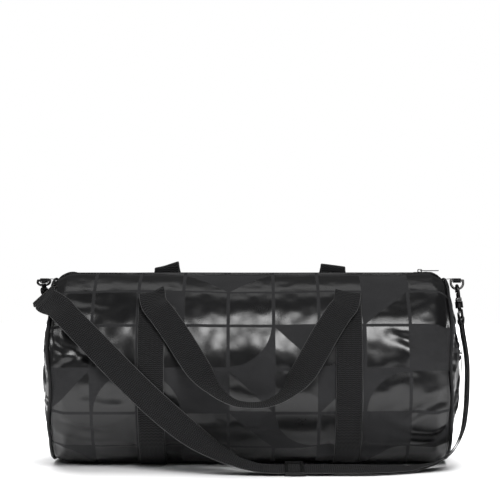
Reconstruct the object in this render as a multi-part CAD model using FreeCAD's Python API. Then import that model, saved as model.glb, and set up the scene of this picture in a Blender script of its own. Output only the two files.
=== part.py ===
import FreeCAD, Part
import math
import os

# Barrel duffel bag, about 600 mm long and 280 mm high, with a top zip, a zipped
# pocket in the right end, two carry handles and a clip-on shoulder strap.
# Millimetres, +Z up, +X along the bag towards its right end, -Y is the front.
# The origin is the middle of the base panel's underside. The body is a fabric
# tube about an axis along X at height BODY_CZ, pressed flat where it rests.

Vec = FreeCAD.Vector
X, Y, Z = Vec(1, 0, 0), Vec(0, 1, 0), Vec(0, 0, 1)

# ---- driving dimensions ------------------------------------------------------
# Angles "DEG" about the tube's axis run from the top, positive towards the front.
BODY_R = 143.0          # outer radius of the fabric tube
BODY_CZ = 137.0         # height of the tube's axis, so the base is a flat chord
FABRIC_T = 1.2
SEAM_X = 287.0          # half length, to the plane of each end seam
SEAM_R = 131.0          # radius of the end seam
ROUND_X = 266.0         # the tube is straight out to here, then rounds in
SHOULDER_X, SHOULDER_R = 279.5, 139.6   # middle point of that rounding
LEFT_BULGE = 16.0       # how far each end panel domes out
RIGHT_BULGE = 22.0
PIPING_R = 1.9

MOUTH_DEG = 33.0        # half angle of the mouth
MOUTH_X = 262.0         # half length of the mouth
LIP_R0, LIP_R1 = 140.4, 141.4
LIP_X = 265.0
LIP_DEG0, LIP_DEG1 = 3.2, 36.5
TAPE_R0, TAPE_R1 = 139.4, 140.0
TAPE_DEG0, TAPE_DEG1 = 1.22, 6.5
TEETH_R0, TEETH_R1 = 138.9, 141.3
TEETH_DEG0, TEETH_DEG1 = 0.10, 1.18
TEETH_X0, TEETH_X1 = -251.0, 247.0
SLIDER_X = 251.0        # centre of the main zip slider, zip closed
PULL_X, PULL_Z = 254.0, 282.2   # puller hinge

POCKET_Z = 165.0        # height of the end pocket's zip
POCKET_Y = 73.0         # its half length in Y
POCKET_PULL = 32.0      # length of its puller

WEB_W = 38.0            # webbing width
WEB_T = 1.5             # handle webbing thickness
LEG_X = 140.0           # carry webbing, each side of the middle
LEG_R0, LEG_R1 = 143.2, 144.9
LEG_MID_R = (LEG_R0 + LEG_R1) / 2
BASE_DEG = 160.5        # where the carry webbing ends under the base
FOLD_DEG = 42.0         # where the front handle folds over
FOLD_R = 150.2          # axis of the front fold, from the tube's axis
ROLL_R = 4.6            # radius of the folds
REAR_LIFT_DEG = 60.0    # where the rear webbing leaves the body
REAR_LEG = 82.0         # length of rear webbing standing free
REAR_LEG_T = 1.6
REAR_TOP_X = 128.0      # the free rear legs lean in to here

AXIS_Y, AXIS_Z = -30.0, 268.0   # line along X through both D-ring bars
RING_WIRE = 1.75        # wire radius
RING_HALF = 9.0         # half width, and radius of the bow
RING_SIDE = 4.0         # straight sides between bar and bow
HOOK_SCALE = 1.35       # trigger hook size against its 28 mm pattern
HOOK_DROP = 0.9         # how far the hook hangs below the ring wire
EYE_HALF = 21.4         # half width of the strap eye
EYE_WIRE = 1.9          # wire radius
EYE_NEAR_Z, EYE_FAR_Z = -24.4, -32.6    # eye bars, in the hook pattern
BAR_DROP = -EYE_FAR_Z * HOOK_SCALE + HOOK_DROP   # ring wire to far eye bar

# side sign, D-ring middle, directions of ring and hook, direction along the eye bar
RIGS = {
    "left": dict(side=-1, ring_x=-303.0, ring_dir=Vec(0, -0.85, -0.53),
                 hook_dir=Vec(0.19, -0.93, -0.33), eye_dir=Vec(0.72, 0, 0.69)),
    "right": dict(side=1, ring_x=304.5, ring_dir=Vec(0, -0.30, -0.954),
                  hook_dir=Vec(0.10, -0.16, -0.98), eye_dir=Vec(0, 1, 0)),
}

STRAP_T = 1.4
RETURN_X = 96.0         # the strap is doubled from here to its right end
RETURN_OFFSET = -2.4    # return layer, from the main layer's middle
ADJ_X, ADJ_Y, ADJ_Z = 62.0, -160.0, 7.7
ADJ_TILT = math.radians(12.0)

SIDES = ((-1, "left"), (1, "right"))    # sign of X
FACES = ((1, "front"), (-1, "rear"))    # sign of the angle from the top
CENTRE = Vec(0, 0, BODY_CZ)

os.makedirs("parts", exist_ok=True)


# ---- helpers -------------------------------------------------------------------
def save(name, shape):
    solids = shape.Solids
    if not solids:
        raise RuntimeError(name + " has no solid")
    shape = solids[0] if len(solids) == 1 else Part.makeCompound(solids)
    shape.exportStep(os.path.join("parts", name + ".step"))


def unit(vector):
    result = Vec(vector)
    result.normalize()
    return result


def square_to(vector, axis):
    """Unit vector nearest to vector and square to the unit axis."""
    return unit(vector - axis * vector.dot(axis))


def polar(radius, deg, x=0.0):
    """Point about the tube's axis, deg from the top towards the front."""
    angle = math.radians(deg)
    return Vec(x, -radius * math.sin(angle), BODY_CZ + radius * math.cos(angle))


def box(x0, x1, y0, y1, z0, z1):
    return Part.makeBox(x1 - x0, y1 - y0, z1 - z0, Vec(x0, y0, z0))


def rod(radius, start, end):
    return Part.makeCylinder(radius, (end - start).Length, start, unit(end - start))


def sector(r0, r1, deg0, deg1, x0, x1):
    """Curved slab about the tube's axis."""
    mid = (deg0 + deg1) / 2.0
    outer = Part.Arc(polar(r1, deg0, x0), polar(r1, mid, x0), polar(r1, deg1, x0)).toShape()
    inner = Part.Arc(polar(r0, deg1, x0), polar(r0, mid, x0), polar(r0, deg0, x0)).toShape()
    wire = Part.Wire([outer, Part.makeLine(polar(r1, deg1, x0), polar(r0, deg1, x0)),
                      inner, Part.makeLine(polar(r0, deg0, x0), polar(r1, deg0, x0))])
    return Part.Face(wire).extrude(Vec(x1 - x0, 0, 0))


def face_sector(sign, r0, r1, deg0, deg1, x0, x1):
    """Sector on the front (sign 1) or the rear (sign -1)."""
    low, high = sorted((sign * deg0, sign * deg1))
    return sector(r0, r1, low, high, x0, x1)


def ribbon(stations, thick=WEB_T, offset=0.0):
    """Webbing lofted through (point, width direction) stations."""
    wires = []
    last = len(stations) - 1
    for i, (point, width) in enumerate(stations):
        tangent = unit(stations[min(i + 1, last)][0] - stations[max(i - 1, 0)][0])
        across = square_to(width, tangent)
        normal = tangent.cross(across)
        middle = point + normal * offset
        half = across * (WEB_W / 2)
        rise = normal * (thick / 2)
        corners = [middle + half + rise, middle - half + rise,
                   middle - half - rise, middle + half - rise]
        wires.append(Part.makePolygon(corners + [corners[0]]))
    return Part.makeLoft(wires, True, True)


def catmull(keys, steps):
    """Catmull-Rom stations through keys (x, y, z, width direction)."""
    points = [Vec(*key[:3]) for key in keys]
    widths = [unit(Vec(*key[3])) for key in keys]
    stations = []
    last = len(points) - 1
    for i in range(last):
        before, start = points[max(i - 1, 0)], points[i]
        end, after = points[i + 1], points[min(i + 2, last)]
        for j in range(steps):
            t = j / float(steps)
            point = (start * 2 + (end - before) * t
                     + (before * 2 - start * 5 + end * 4 - after) * (t * t)
                     + (start * 3 - before - end * 3 + after) * (t * t * t)) * 0.5
            stations.append((point, unit(widths[i] * (1 - t) + widths[i + 1] * t)))
    stations.append((points[-1], widths[-1]))
    return stations


def to_frame(shape, origin, x_dir, z_dir):
    """Carries a shape modelled about the origin to the given frame."""
    ez = unit(z_dir)
    ex = square_to(x_dir, ez)
    ey = ez.cross(ex)
    matrix = FreeCAD.Matrix(ex.x, ey.x, ez.x, origin.x,
                            ex.y, ey.y, ez.y, origin.y,
                            ex.z, ey.z, ez.z, origin.z,
                            0, 0, 0, 1)
    moved = shape.copy()
    moved.Placement = FreeCAD.Placement(matrix).multiply(moved.Placement)
    return moved


# ---- body ----------------------------------------------------------------------
def profile(inset):
    """Tube meridian about the origin, left seam to right seam: edges and both ends."""
    radius, seam, shoulder = BODY_R - inset, SEAM_R - inset, SHOULDER_R - inset
    left, right = Vec(-SEAM_X, 0, seam), Vec(SEAM_X, 0, seam)
    line_left, line_right = Vec(-ROUND_X, 0, radius), Vec(ROUND_X, 0, radius)
    edges = [Part.Arc(left, Vec(-SHOULDER_X, 0, shoulder), line_left).toShape(),
             Part.makeLine(line_left, line_right),
             Part.Arc(line_right, Vec(SHOULDER_X, 0, shoulder), right).toShape()]
    return edges, left, right


def shell_sector(deg0, deg1):
    outer, outer_left, outer_right = profile(0.0)
    inner, inner_left, inner_right = profile(FABRIC_T)
    wire = Part.Wire(Part.__sortEdges__(
        outer + [Part.makeLine(outer_right, inner_right)]
        + inner + [Part.makeLine(inner_left, outer_left)]))
    face = Part.Face(wire)
    face.translate(CENTRE)
    face.rotate(CENTRE, X, deg0)
    return face.revolve(CENTRE, X, deg1 - deg0)


def inner_solid(inset):
    """Solid filling the tube to a given inset."""
    edges, left, right = profile(inset)
    foot_left, foot_right = Vec(-SEAM_X, 0, 0), Vec(SEAM_X, 0, 0)
    wire = Part.Wire(Part.__sortEdges__(
        edges + [Part.makeLine(right, foot_right), Part.makeLine(foot_right, foot_left),
                 Part.makeLine(foot_left, left)]))
    face = Part.Face(wire)
    face.translate(CENTRE)
    return face.revolve(CENTRE, X, 360)


def body_panel(deg0, deg1):
    """Half of the tube, cut flat at the floor and open at the mouth."""
    above_floor = box(-400, 400, -400, 400, 0, 400)
    mouth = sector(BODY_R - 8, BODY_R + 8, -MOUTH_DEG, MOUTH_DEG, -MOUTH_X, MOUTH_X)
    return shell_sector(deg0, deg1).common(above_floor).cut(mouth)


def base_panel():
    clearance = 0.15    # inside the tube's fabric
    return box(-283, 283, -70, 70, 0, FABRIC_T).common(inner_solid(FABRIC_T + clearance))


def dome_sphere(bulge):
    """Radius and centre X of the sphere behind a right end panel."""
    radius = (SEAM_R ** 2 + bulge ** 2) / (2 * bulge)
    return radius, SEAM_X + bulge - radius


def end_dome(bulge):
    """Spherical skin of fabric thickness, at the right end."""
    gap = 0.1
    radius, centre_x = dome_sphere(bulge)
    outer = Part.makeSphere(radius + FABRIC_T + gap, Vec(centre_x, 0, BODY_CZ))
    inner = Part.makeSphere(radius + gap, Vec(centre_x, 0, BODY_CZ))
    keep = Part.makeCylinder(SEAM_R - 0.2, 60, Vec(SEAM_X + 0.05, 0, BODY_CZ), X)
    return outer.cut(inner).common(keep)


def right_end_panel():
    """Right dome with the end pocket's opening."""
    opening = box(SEAM_X + 6, SEAM_X + 40, -POCKET_Y - 8, POCKET_Y + 8,
                  POCKET_Z - 4.0, POCKET_Z + 4.0)
    return end_dome(RIGHT_BULGE).cut(opening)


def piping(side):
    """Cord round an end seam, with a gap where the ring tab passes."""
    ring = Part.makeTorus(SEAM_R + 2.3, PIPING_R, Vec(side * (SEAM_X + 1.8), 0, BODY_CZ), X)
    seam_x = side * SEAM_X
    return ring.cut(box(seam_x - 20, seam_x + 20, AXIS_Y - 6, AXIS_Y + 20, 240, 300))


def seam_binding(side):
    x0, x1 = sorted((side * 281.0, side * 286.5))
    start = Vec(x0, 0, BODY_CZ)
    return Part.makeCylinder(128.6, x1 - x0, start, X).cut(
        Part.makeCylinder(127.8, x1 - x0, start, X))


save("front_panel", body_panel(0.6, 179.9))
save("rear_panel", body_panel(-179.9, -0.6))
save("base_panel", base_panel())
save("left_end_panel", end_dome(LEFT_BULGE).mirror(Vec(0, 0, 0), X))
save("right_end_panel", right_end_panel())
for side, name in SIDES:
    save(name + "_piping", piping(side))
    save(name + "_seam_binding", seam_binding(side))
save("base_seam_bindings", Part.makeCompound([
    box(-270, 270, y0, y0 + 16, 2.7, 3.4) for y0 in (-43, 27)]))


# ---- mouth and main zip ----------------------------------------------------------
def main_slider():
    """Two plates joined by a wedge, with a crown for the puller."""
    half_length, half_width = 7, 5
    x0, x1 = SLIDER_X - half_length, SLIDER_X + half_length
    upper_top = BODY_CZ + 143.2
    crown_top = BODY_CZ + 147.6
    wedge_x0, wedge_x1, wedge_z = TEETH_X1 + 0.3, x1 - 0.2, BODY_CZ + 138

    upper = box(x0, x1, -half_width, half_width, BODY_CZ + 141.75, upper_top)
    lower = box(x0, x1, -half_width, half_width, BODY_CZ + 137.1, BODY_CZ + 138.4)
    # top rim and upright corners
    upper = upper.makeFillet(0.5, [
        e for e in upper.Edges
        if abs(e.BoundBox.ZMin - upper_top) < 1e-6 or e.BoundBox.ZLength > 1])
    # comes to a point against the teeth
    tip = Vec(wedge_x0, 0, wedge_z)
    wedge = Part.Face(Part.makePolygon([
        tip, Vec(wedge_x1, 1.5, wedge_z), Vec(wedge_x1, -1.5, wedge_z), tip,
    ])).extrude(Vec(0, 0, 4.2))
    crown = box(SLIDER_X - 1.5, SLIDER_X + 5.4, -1.3, 1.3, BODY_CZ + 143.0, crown_top)
    crown = crown.makeFillet(1.6, [
        e for e in crown.Edges
        if e.BoundBox.ZMin > crown_top - 0.1 and e.BoundBox.XLength < 1e-3])
    crown = crown.cut(box(SLIDER_X - 0.1, SLIDER_X + 4.2, -2, 2,
                          BODY_CZ + 143.6, BODY_CZ + 146.6))
    return upper.fuse([lower, wedge, crown]).removeSplitter()


def main_puller():
    """Hinge bar through the crown, two arms and a long tab towards the right end."""
    half, half_t = 3.2, 0.6
    z0, z1 = PULL_Z - half_t, PULL_Z + half_t
    arm_x0, arm_x1 = PULL_X - 0.6, PULL_X + 5.4
    tab_end = PULL_X + 27

    bar = Part.makeCylinder(0.85, 2 * half, Vec(PULL_X, -half, PULL_Z), Y)
    arms = box(arm_x0, arm_x1, 1.8, half, z0, z1).fuse(
        box(arm_x0, arm_x1, -half, -1.8, z0, z1))
    tab = box(PULL_X + 5.0, tab_end, -half, half, z0, z1)
    tab = tab.makeFillet(2.0, [
        e for e in tab.Edges
        if e.BoundBox.ZLength > 1 and e.BoundBox.XMin > tab_end - 1])
    tab = tab.cut(Part.makeCylinder(1.3, 4, Vec(PULL_X + 23.2, 0, PULL_Z - 2), Z))
    return bar.fuse([arms, tab]).removeSplitter()


for sign, name in FACES:
    save(name + "_mouth_panel",
         face_sector(sign, LIP_R0, LIP_R1, LIP_DEG0, LIP_DEG1, -LIP_X, LIP_X))
    save(name + "_zip_tape",
         face_sector(sign, TAPE_R0, TAPE_R1, TAPE_DEG0, TAPE_DEG1, TEETH_X0, TEETH_X1 + 6))
    save(name + "_zip_teeth",
         face_sector(sign, TEETH_R0, TEETH_R1, TEETH_DEG0, TEETH_DEG1, TEETH_X0, TEETH_X1))
save("zip_end_patches", Part.makeCompound([
    sector(138.5, 139.1, -TAPE_DEG1, TAPE_DEG1, x0, x1)
    for x0, x1 in ((-278, -252.6), (259.6, 278))]))
save("zip_stops", Part.makeCompound([
    box(x0, x1, -3, 3, BODY_CZ + 139.2, BODY_CZ + 141.4)
    for x0, x1 in ((-256.5, -252.8), (260.0, 261.8))]))
save("main_zip_slider", main_slider())
save("main_zip_puller", main_puller())

# ---- end pocket --------------------------------------------------------------------
# The zip follows the right dome, on a circle about a vertical axis.
DOME_R, DOME_X = dome_sphere(RIGHT_BULGE)
ZIP_R = math.sqrt(DOME_R ** 2 - (POCKET_Z - BODY_CZ) ** 2)
ZIP_DEG = math.degrees(math.asin(POCKET_Y / ZIP_R))


def band(r0, r1, z0, z1, half_deg):
    """Upright curved strip along the pocket's zip."""
    foot = Vec(DOME_X, 0, z0)
    ring = Part.makeCylinder(r1, z1 - z0, foot, Z).cut(
        Part.makeCylinder(r0, z1 - z0, foot, Z))
    half_y = r1 * math.sin(math.radians(half_deg))
    return ring.common(box(DOME_X + 100, DOME_X + 500, -half_y, half_y, z0 - 1, z1 + 1))


def pocket_tapes():
    near, far = 1.7, 12     # tape edges, from the zip line
    return Part.makeCompound([
        band(ZIP_R - 1.7, ZIP_R - 1.1, z0, z1, ZIP_DEG + 1)
        for z0, z1 in ((POCKET_Z + near, POCKET_Z + far), (POCKET_Z - far, POCKET_Z - near))])


def pocket_slider():
    # frame: x outward from the panel, y along the zip, z up; origin on the zip line
    outer = box(0.55, 1.9, -6, 6, -3.4, 3.4)
    inner = box(-3.6, -2.45, -6, 6, -3.4, 3.4)
    crown = box(1.7, 5.4, -1.5, 1.5, -2.6, 2.6).cut(box(2.5, 4.6, -2, 2, -1.5, 1.5))
    post = box(-2.6, 0.7, -6, 6, 1.56, 1.66)
    return outer.fuse([inner, crown, post]).removeSplitter()


def pocket_puller():
    # frame: hinge bar along y through the origin, tab hanging along -z
    bar = Part.makeCylinder(0.8, 6.4, Vec(0, -3.2, 0), Y)
    bridge = box(-0.6, 0.6, -3.3, 3.3, -6.0, -3.9)
    arms = rod(0.55, Vec(0, -2.7, 0), Vec(0, -2.7, -4.2)).fuse(
        rod(0.55, Vec(0, 2.7, 0), Vec(0, 2.7, -4.2)))
    tab = box(-0.6, 0.6, -2.9, 2.9, -POCKET_PULL, -5.5)
    tab = tab.makeFillet(1.8, [
        e for e in tab.Edges
        if e.BoundBox.XLength > 1 and e.BoundBox.ZMax < -POCKET_PULL + 1])
    tab = tab.cut(Part.makeCylinder(1.2, 4, Vec(-2, 0, -POCKET_PULL + 4), X))
    return bar.fuse([arms, bridge, tab]).removeSplitter()


def pouch():
    shape = box(274.0, 277.0, -76, 76, 66, 158)
    return shape.makeFillet(1.0, shape.Edges)


# the slider rests near the zip's front end
rest = math.radians(-ZIP_DEG * 0.93)
outward = Vec(math.cos(rest), math.sin(rest), 0)
slider_at = Vec(DOME_X, 0, POCKET_Z) + outward * ZIP_R

save("pocket_zip_tapes", pocket_tapes())
save("pocket_zip_teeth",
     band(ZIP_R - 2.0, ZIP_R + 0.1, POCKET_Z - 1.5, POCKET_Z + 1.5, ZIP_DEG + 0.6))
save("pocket_zip_slider", to_frame(pocket_slider(), slider_at, outward, Z))
# the puller's free end leans slightly outward
save("pocket_zip_puller", to_frame(pocket_puller(), slider_at + outward * 3.5,
                                   outward, Z - outward * 0.05))
save("pocket_pouch", pouch())

# ---- carry webbing and handles -------------------------------------------------------
lift = math.radians(REAR_LIFT_DEG)
REAR_UP = unit(Vec(0, -math.cos(lift), math.sin(lift)))     # along the free rear legs
REAR_OUT = Vec(0, math.sin(lift), math.cos(lift))           # away from the body there
REAR_FOOT = polar(LEG_MID_R, -REAR_LIFT_DEG)


def rear_webbing(side, x0, x1):
    """Strip up the body, then a leg standing free and leaning to the middle."""
    strip = sector(LEG_R0, LEG_R1, -BASE_DEG, -REAR_LIFT_DEG, x0, x1)
    stations = []
    for i in range(6):
        t = i / 5.0
        point = REAR_FOOT + REAR_UP * (REAR_LEG * t)
        point.x = side * (LEG_X + (REAR_TOP_X - LEG_X) * t)
        stations.append((point, X))
    return strip.fuse(ribbon(stations, REAR_LEG_T)).removeSplitter()


def handle(loop, axis, inward, uphill, leg_x):
    """Handle with a half-turn fold at each end of the loop's keys.

    The fold turns about axis, from its inward side over the uphill side.
    """
    def fold(x, angles, width):
        keys = []
        for deg in angles:
            angle = math.radians(deg)
            point = (axis + inward * (ROLL_R * math.cos(angle))
                     + uphill * (ROLL_R * math.sin(angle)))
            keys.append((x, point.y, point.z, width))
        return keys

    angles = (0, 60, 120, 180)
    keys = fold(-leg_x, angles, (1, 0, 0)) + loop + fold(leg_x, angles[::-1], (-1, 0, 0))
    return ribbon(catmull(keys, 3))


def on_bag(x, z, radius, width, side_y=-1):
    """Key at a radius from the tube's axis, on the front unless side_y is 1."""
    return (x, side_y * math.sqrt(radius * radius - (z - BODY_CZ) ** 2), z, width)


# Hanging loops from left to right. Keys are x, y, z, width direction;
# on_bag rows are x, z, radius from the tube's axis, width direction.
FRONT_LOOP = [
    on_bag(-136, 236, 154.0, (0.95, 0.10, 0.28)),
    on_bag(-126, 224, 154.0, (0.84, 0.18, 0.50)),
    on_bag(-108, 200, 151.0, (0.82, 0.15, 0.57)),
    on_bag(-90, 173, 150.5, (0.82, 0.15, 0.50)),
    on_bag(-72, 146, 156.0, (0.78, 0.36, 0.48)),
    (-51, -162.0, 119, (0.36, 0.91, 0.26)),
    (-26, -168.0, 102, (0.10, 0.98, 0.16)),
    (0, -169.0, 97, (0.0, 0.99, 0.12)),
    (28, -168.0, 100, (-0.10, 0.98, 0.16)),
    (54, -162.0, 115, (-0.36, 0.91, 0.26)),
    on_bag(75, 142, 156.0, (-0.78, 0.36, 0.48)),
    on_bag(92, 170, 150.5, (-0.84, 0.15, 0.48)),
    on_bag(109, 199, 151.0, (-0.84, 0.15, 0.50)),
    on_bag(126, 224, 154.0, (-0.84, 0.18, 0.50)),
    on_bag(136, 236, 154.0, (-0.95, 0.10, 0.28)),
]
# The rear loop is symmetric: its left half, then its middle.
REAR_HALF_LOOP = [
    (-122, 103.0, 264, (0.90, -0.14, 0.40)),
    (-104, 116.0, 236, (0.82, -0.15, 0.57)),
    on_bag(-88, 209, 152.0, (0.82, -0.15, 0.50), 1),
    on_bag(-70, 182, 154.0, (0.72, -0.45, 0.45), 1),
    (-50, 159.0, 155, (0.45, -0.85, 0.40)),
    (-26, 166.0, 139, (0.15, -0.95, 0.32)),
]
REAR_MIDDLE = (0, 168.0, 134, (0.0, -0.95, 0.30))


def front_handle():
    angle = math.radians(FOLD_DEG)
    inward = Vec(0, math.sin(angle), -math.cos(angle))
    uphill = Vec(0, math.cos(angle), math.sin(angle))
    return handle(FRONT_LOOP, polar(FOLD_R, FOLD_DEG), inward, uphill, LEG_X)


def rear_handle():
    """The webbing stands up off the body, then flops backwards."""
    right_half = [(-x, y, z, (-width[0], width[1], width[2]))
                  for x, y, z, width in reversed(REAR_HALF_LOOP)]
    loop = REAR_HALF_LOOP + [REAR_MIDDLE] + right_half
    leg_top = REAR_FOOT + REAR_UP * REAR_LEG
    axis = leg_top + REAR_OUT * (ROLL_R + 1.9) + REAR_UP * 2.0
    return handle(loop, axis, -REAR_OUT, REAR_UP, REAR_TOP_X)


for side, name in SIDES:
    x0, x1 = side * LEG_X - WEB_W / 2, side * LEG_X + WEB_W / 2
    save("front_%s_webbing" % name, sector(LEG_R0, LEG_R1, FOLD_DEG + 2, BASE_DEG, x0, x1))
    save("rear_%s_webbing" % name, rear_webbing(side, x0, x1))
save("front_handle", front_handle())
save("rear_handle", rear_handle())


# ---- strap anchors -------------------------------------------------------------------
def ring_tab(side, ring_x):
    """Knuckle round the ring's bar, with a plate back to the end seam."""
    half, z1 = 6.0, AXIS_Z + 1.5
    plate_y = AXIS_Y + 15.0
    knuckle = Part.makeCylinder(3.5, 2 * half, Vec(ring_x - half, AXIS_Y, AXIS_Z), X)
    x0, x1 = sorted((side * (SEAM_X + 0.4), ring_x + side * half))
    plate = box(x0, x1, AXIS_Y + 3.0, plate_y, AXIS_Z, z1).fuse(
        box(ring_x - half, ring_x + half, AXIS_Y + 1.0, plate_y, AXIS_Z, z1))
    bore = Part.makeCylinder(RING_WIRE + 0.08, 60, Vec(ring_x - 30, AXIS_Y, AXIS_Z), X)
    return knuckle.fuse(plate).cut(bore).removeSplitter()


def d_ring():
    # frame: bar along x through the origin, bow towards -z
    half, drop, wire = RING_HALF, RING_SIDE, RING_WIRE
    left, right = Vec(-half, 0, 0), Vec(half, 0, 0)
    bar = rod(wire, left, right)
    left_leg = rod(wire, left, Vec(-half, 0, -drop))
    right_leg = rod(wire, right, Vec(half, 0, -drop))
    bow = Part.makeTorus(half, wire, Vec(0, 0, -drop), Y).common(
        box(-40, 40, -40, 40, -40, -drop))
    corners = [Part.makeSphere(wire, left), Part.makeSphere(wire, right)]
    return bar.fuse([left_leg, right_leg, bow] + corners).removeSplitter()


for name, rig in RIGS.items():
    save(name + "_ring_tab", ring_tab(rig["side"], rig["ring_x"]))
    save(name + "_d_ring", to_frame(d_ring(), Vec(rig["ring_x"], AXIS_Y, AXIS_Z),
                                    X, -rig["ring_dir"]))

# ---- trigger hooks --------------------------------------------------------------------
# Pattern frame: the ring's wire runs along x through the origin, z points from
# the strap to the ring. Sizes are before HOOK_SCALE.
CLAW_R, CLAW_WIRE, CLAW_Z = 6.3, 1.7, -2.0
PIVOT_Y, PIVOT_Z = 6.3, -10.9


def pivot_bore(radius):
    return Part.makeCylinder(radius, 10, Vec(-5, PIVOT_Y, PIVOT_Z), X)


def hook_body():
    claw = Part.makeTorus(CLAW_R, CLAW_WIRE, Vec(0, 0, CLAW_Z), X).common(
        box(-10, 10, -20, 20, CLAW_Z, 20))
    spine = rod(CLAW_WIRE, Vec(0, -CLAW_R, CLAW_Z), Vec(0, -CLAW_R, -11))
    tip = rod(CLAW_WIRE, Vec(0, CLAW_R, CLAW_Z), Vec(0, CLAW_R, CLAW_Z - 0.4))
    block = box(-2.4, 2.4, -8.0, 8.6, -14.4, -9.6)
    block = block.makeFillet(1.2, [e for e in block.Edges if e.BoundBox.XLength > 1])
    gate_slot = box(-1.25, 1.25, 2.8, 9.5, -13.4, -9.0)
    barrel = Part.makeCylinder(4.2, 7.0, Vec(0, 0, -20.4), Z)
    body = claw.fuse([spine, tip, block, barrel])
    body = body.cut(gate_slot)
    # swivel bore, then the wider chamber for the eye's head
    body = body.cut(Part.makeCylinder(2.08, 12, Vec(0, 0, -22), Z).common(
        box(-5, 5, -5, 5, -22, -15.6)))
    body = body.cut(Part.makeCylinder(3.1, 3.0, Vec(0, 0, -18.6), Z))
    body = body.cut(pivot_bore(0.84))
    return body.removeSplitter()


def hook_gate():
    lever_top = Vec(0, PIVOT_Y, -3.9)
    lever = rod(1.1, Vec(0, PIVOT_Y, PIVOT_Z), lever_top)
    lever = lever.fuse(Part.makeSphere(1.1, lever_top))
    root = Part.makeCylinder(1.7, 1.0, Vec(-0.5, PIVOT_Y, PIVOT_Z), X).fuse(
        box(-0.5, 0.5, 4.9, 7.7, PIVOT_Z, -8.4))
    thumb = rod(0.9, Vec(0, PIVOT_Y, -7.4), Vec(0, 11.0, -8.8)).fuse(
        Part.makeCylinder(1.5, 1.4, Vec(0, 10.6, -8.6), unit(Vec(0, 0.95, -0.3))))
    gate = root.fuse([lever.common(box(-2, 2, 0, 20, -9.2, 0)), thumb])
    return gate.cut(pivot_bore(0.88)).removeSplitter()


def gate_pin():
    return Part.makeCylinder(0.8, 4.8, Vec(-2.4, PIVOT_Y, PIVOT_Z), X)


def gate_spring():
    return Part.makeCylinder(1.5, 0.5, Vec(0.62, PIVOT_Y, PIVOT_Z), X).cut(
        Part.makeCylinder(0.95, 2, Vec(0, PIVOT_Y, PIVOT_Z), X))


def strap_eye():
    """Wire loop in the x-z plane, with a headed post up the swivel."""
    half, wire = EYE_HALF / HOOK_SCALE, EYE_WIRE / HOOK_SCALE
    near_left, near_right = Vec(-half, 0, EYE_NEAR_Z), Vec(half, 0, EYE_NEAR_Z)
    far_left, far_right = Vec(-half, 0, EYE_FAR_Z), Vec(half, 0, EYE_FAR_Z)
    loop = rod(wire, near_left, near_right).fuse(
        [rod(wire, far_left, far_right), rod(wire, near_left, far_left),
         rod(wire, near_right, far_right)]
        + [Part.makeSphere(wire, corner)
           for corner in (near_left, near_right, far_left, far_right)])
    post = Part.makeCylinder(2.0, 7.6, Vec(0, 0, -24.6), Z)
    head = Part.makeCylinder(2.95, 2.6, Vec(0, 0, -18.4), Z)
    return loop.fuse([post, head]).removeSplitter()


def hook_frame(rig):
    """Inside the ring's bow, and the unit direction from strap to ring."""
    bar = Vec(rig["ring_x"], AXIS_Y, AXIS_Z)
    return bar + unit(rig["ring_dir"]) * (RING_SIDE + RING_HALF), unit(-rig["hook_dir"])


def save_hook_part(name, pattern, rig, x_dir):
    shape = pattern.copy()
    shape.scale(HOOK_SCALE)
    shape.translate(Vec(0, 0, -HOOK_DROP))
    origin, z_dir = hook_frame(rig)
    save(name, to_frame(shape, origin, x_dir, z_dir))


for name, rig in RIGS.items():
    save_hook_part(name + "_hook", hook_body(), rig, X)
    save_hook_part(name + "_hook_gate", hook_gate(), rig, X)
    save_hook_part(name + "_gate_pin", gate_pin(), rig, X)
    save_hook_part(name + "_gate_spring", gate_spring(), rig, X)
    save_hook_part(name + "_strap_eye", strap_eye(), rig, rig["eye_dir"])

# ---- shoulder strap ---------------------------------------------------------------------
TILT_COS, TILT_SIN = math.cos(ADJ_TILT), math.sin(ADJ_TILT)
ADJ_WIDTH = (0.0, TILT_COS, TILT_SIN)    # across the strap at the adjuster

# Section of the strap round an eye bar: distance along the strap, distance
# along its normal, both from the bar's middle.
CURL = [(3.2, -2.5), (0, -2.9), (-2.05, -2.05), (-2.9, 0),
        (-2.05, 2.05), (0, 2.9), (3.2, 2.5)]

# Strap between its eyes, left to right: x, y, z, width direction.
STRAP_RUN = [
    (-273, -114, 232.5, (0.68, 0.34, 0.65)),
    (-258, -126.5, 219, (0.66, 0.42, 0.64)),
    (-232, -138.5, 194, (0.62, 0.36, 0.70)),
    (-200, -147.5, 162, (0.64, 0.20, 0.74)),
    (-166, -150.5, 128, (0.66, 0.06, 0.75)),
    (-130, -151.5, 94, (0.64, 0.14, 0.75)),
    (-88, -153.5, 59, (0.52, 0.46, 0.70)),
    (-50, -156.0, 33.5, (0.30, 0.80, 0.50)),
    (-18, -158.5, 17.5, (0.12, 0.95, 0.26)),
    (8, -159.6, 10.0, (0.03, 0.975, 0.21)),
    (30, ADJ_Y, ADJ_Z, ADJ_WIDTH),
    (47, ADJ_Y, ADJ_Z, ADJ_WIDTH),
    (64, ADJ_Y, ADJ_Z, ADJ_WIDTH),
    (95, ADJ_Y, ADJ_Z, ADJ_WIDTH),
    (150, ADJ_Y, ADJ_Z, ADJ_WIDTH),
    (173, -156.5, ADJ_Z - 0.4, (0.10, 0.975, 0.16)),
    (201, -145.5, 6.6, (0.26, 0.95, 0.09)),
    (232, -129.0, 6.6, (0.30, 0.95, 0.04)),
    (264, -115.5, 12.4, (0.24, 0.95, -0.04)),
    (288.5, -101.5, 27.0, (0.10, 0.96, -0.16)),
    (303.5, -85.0, 49, (0.0, 0.95, -0.28)),
    (311.5, -66.0, 77, (0.0, 0.95, -0.24)),
    (315.6, -51.0, 112, (0.0, 0.98, -0.12)),
    (316.2, -43.5, 152, (0.0, 0.99, -0.02)),
]


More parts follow.
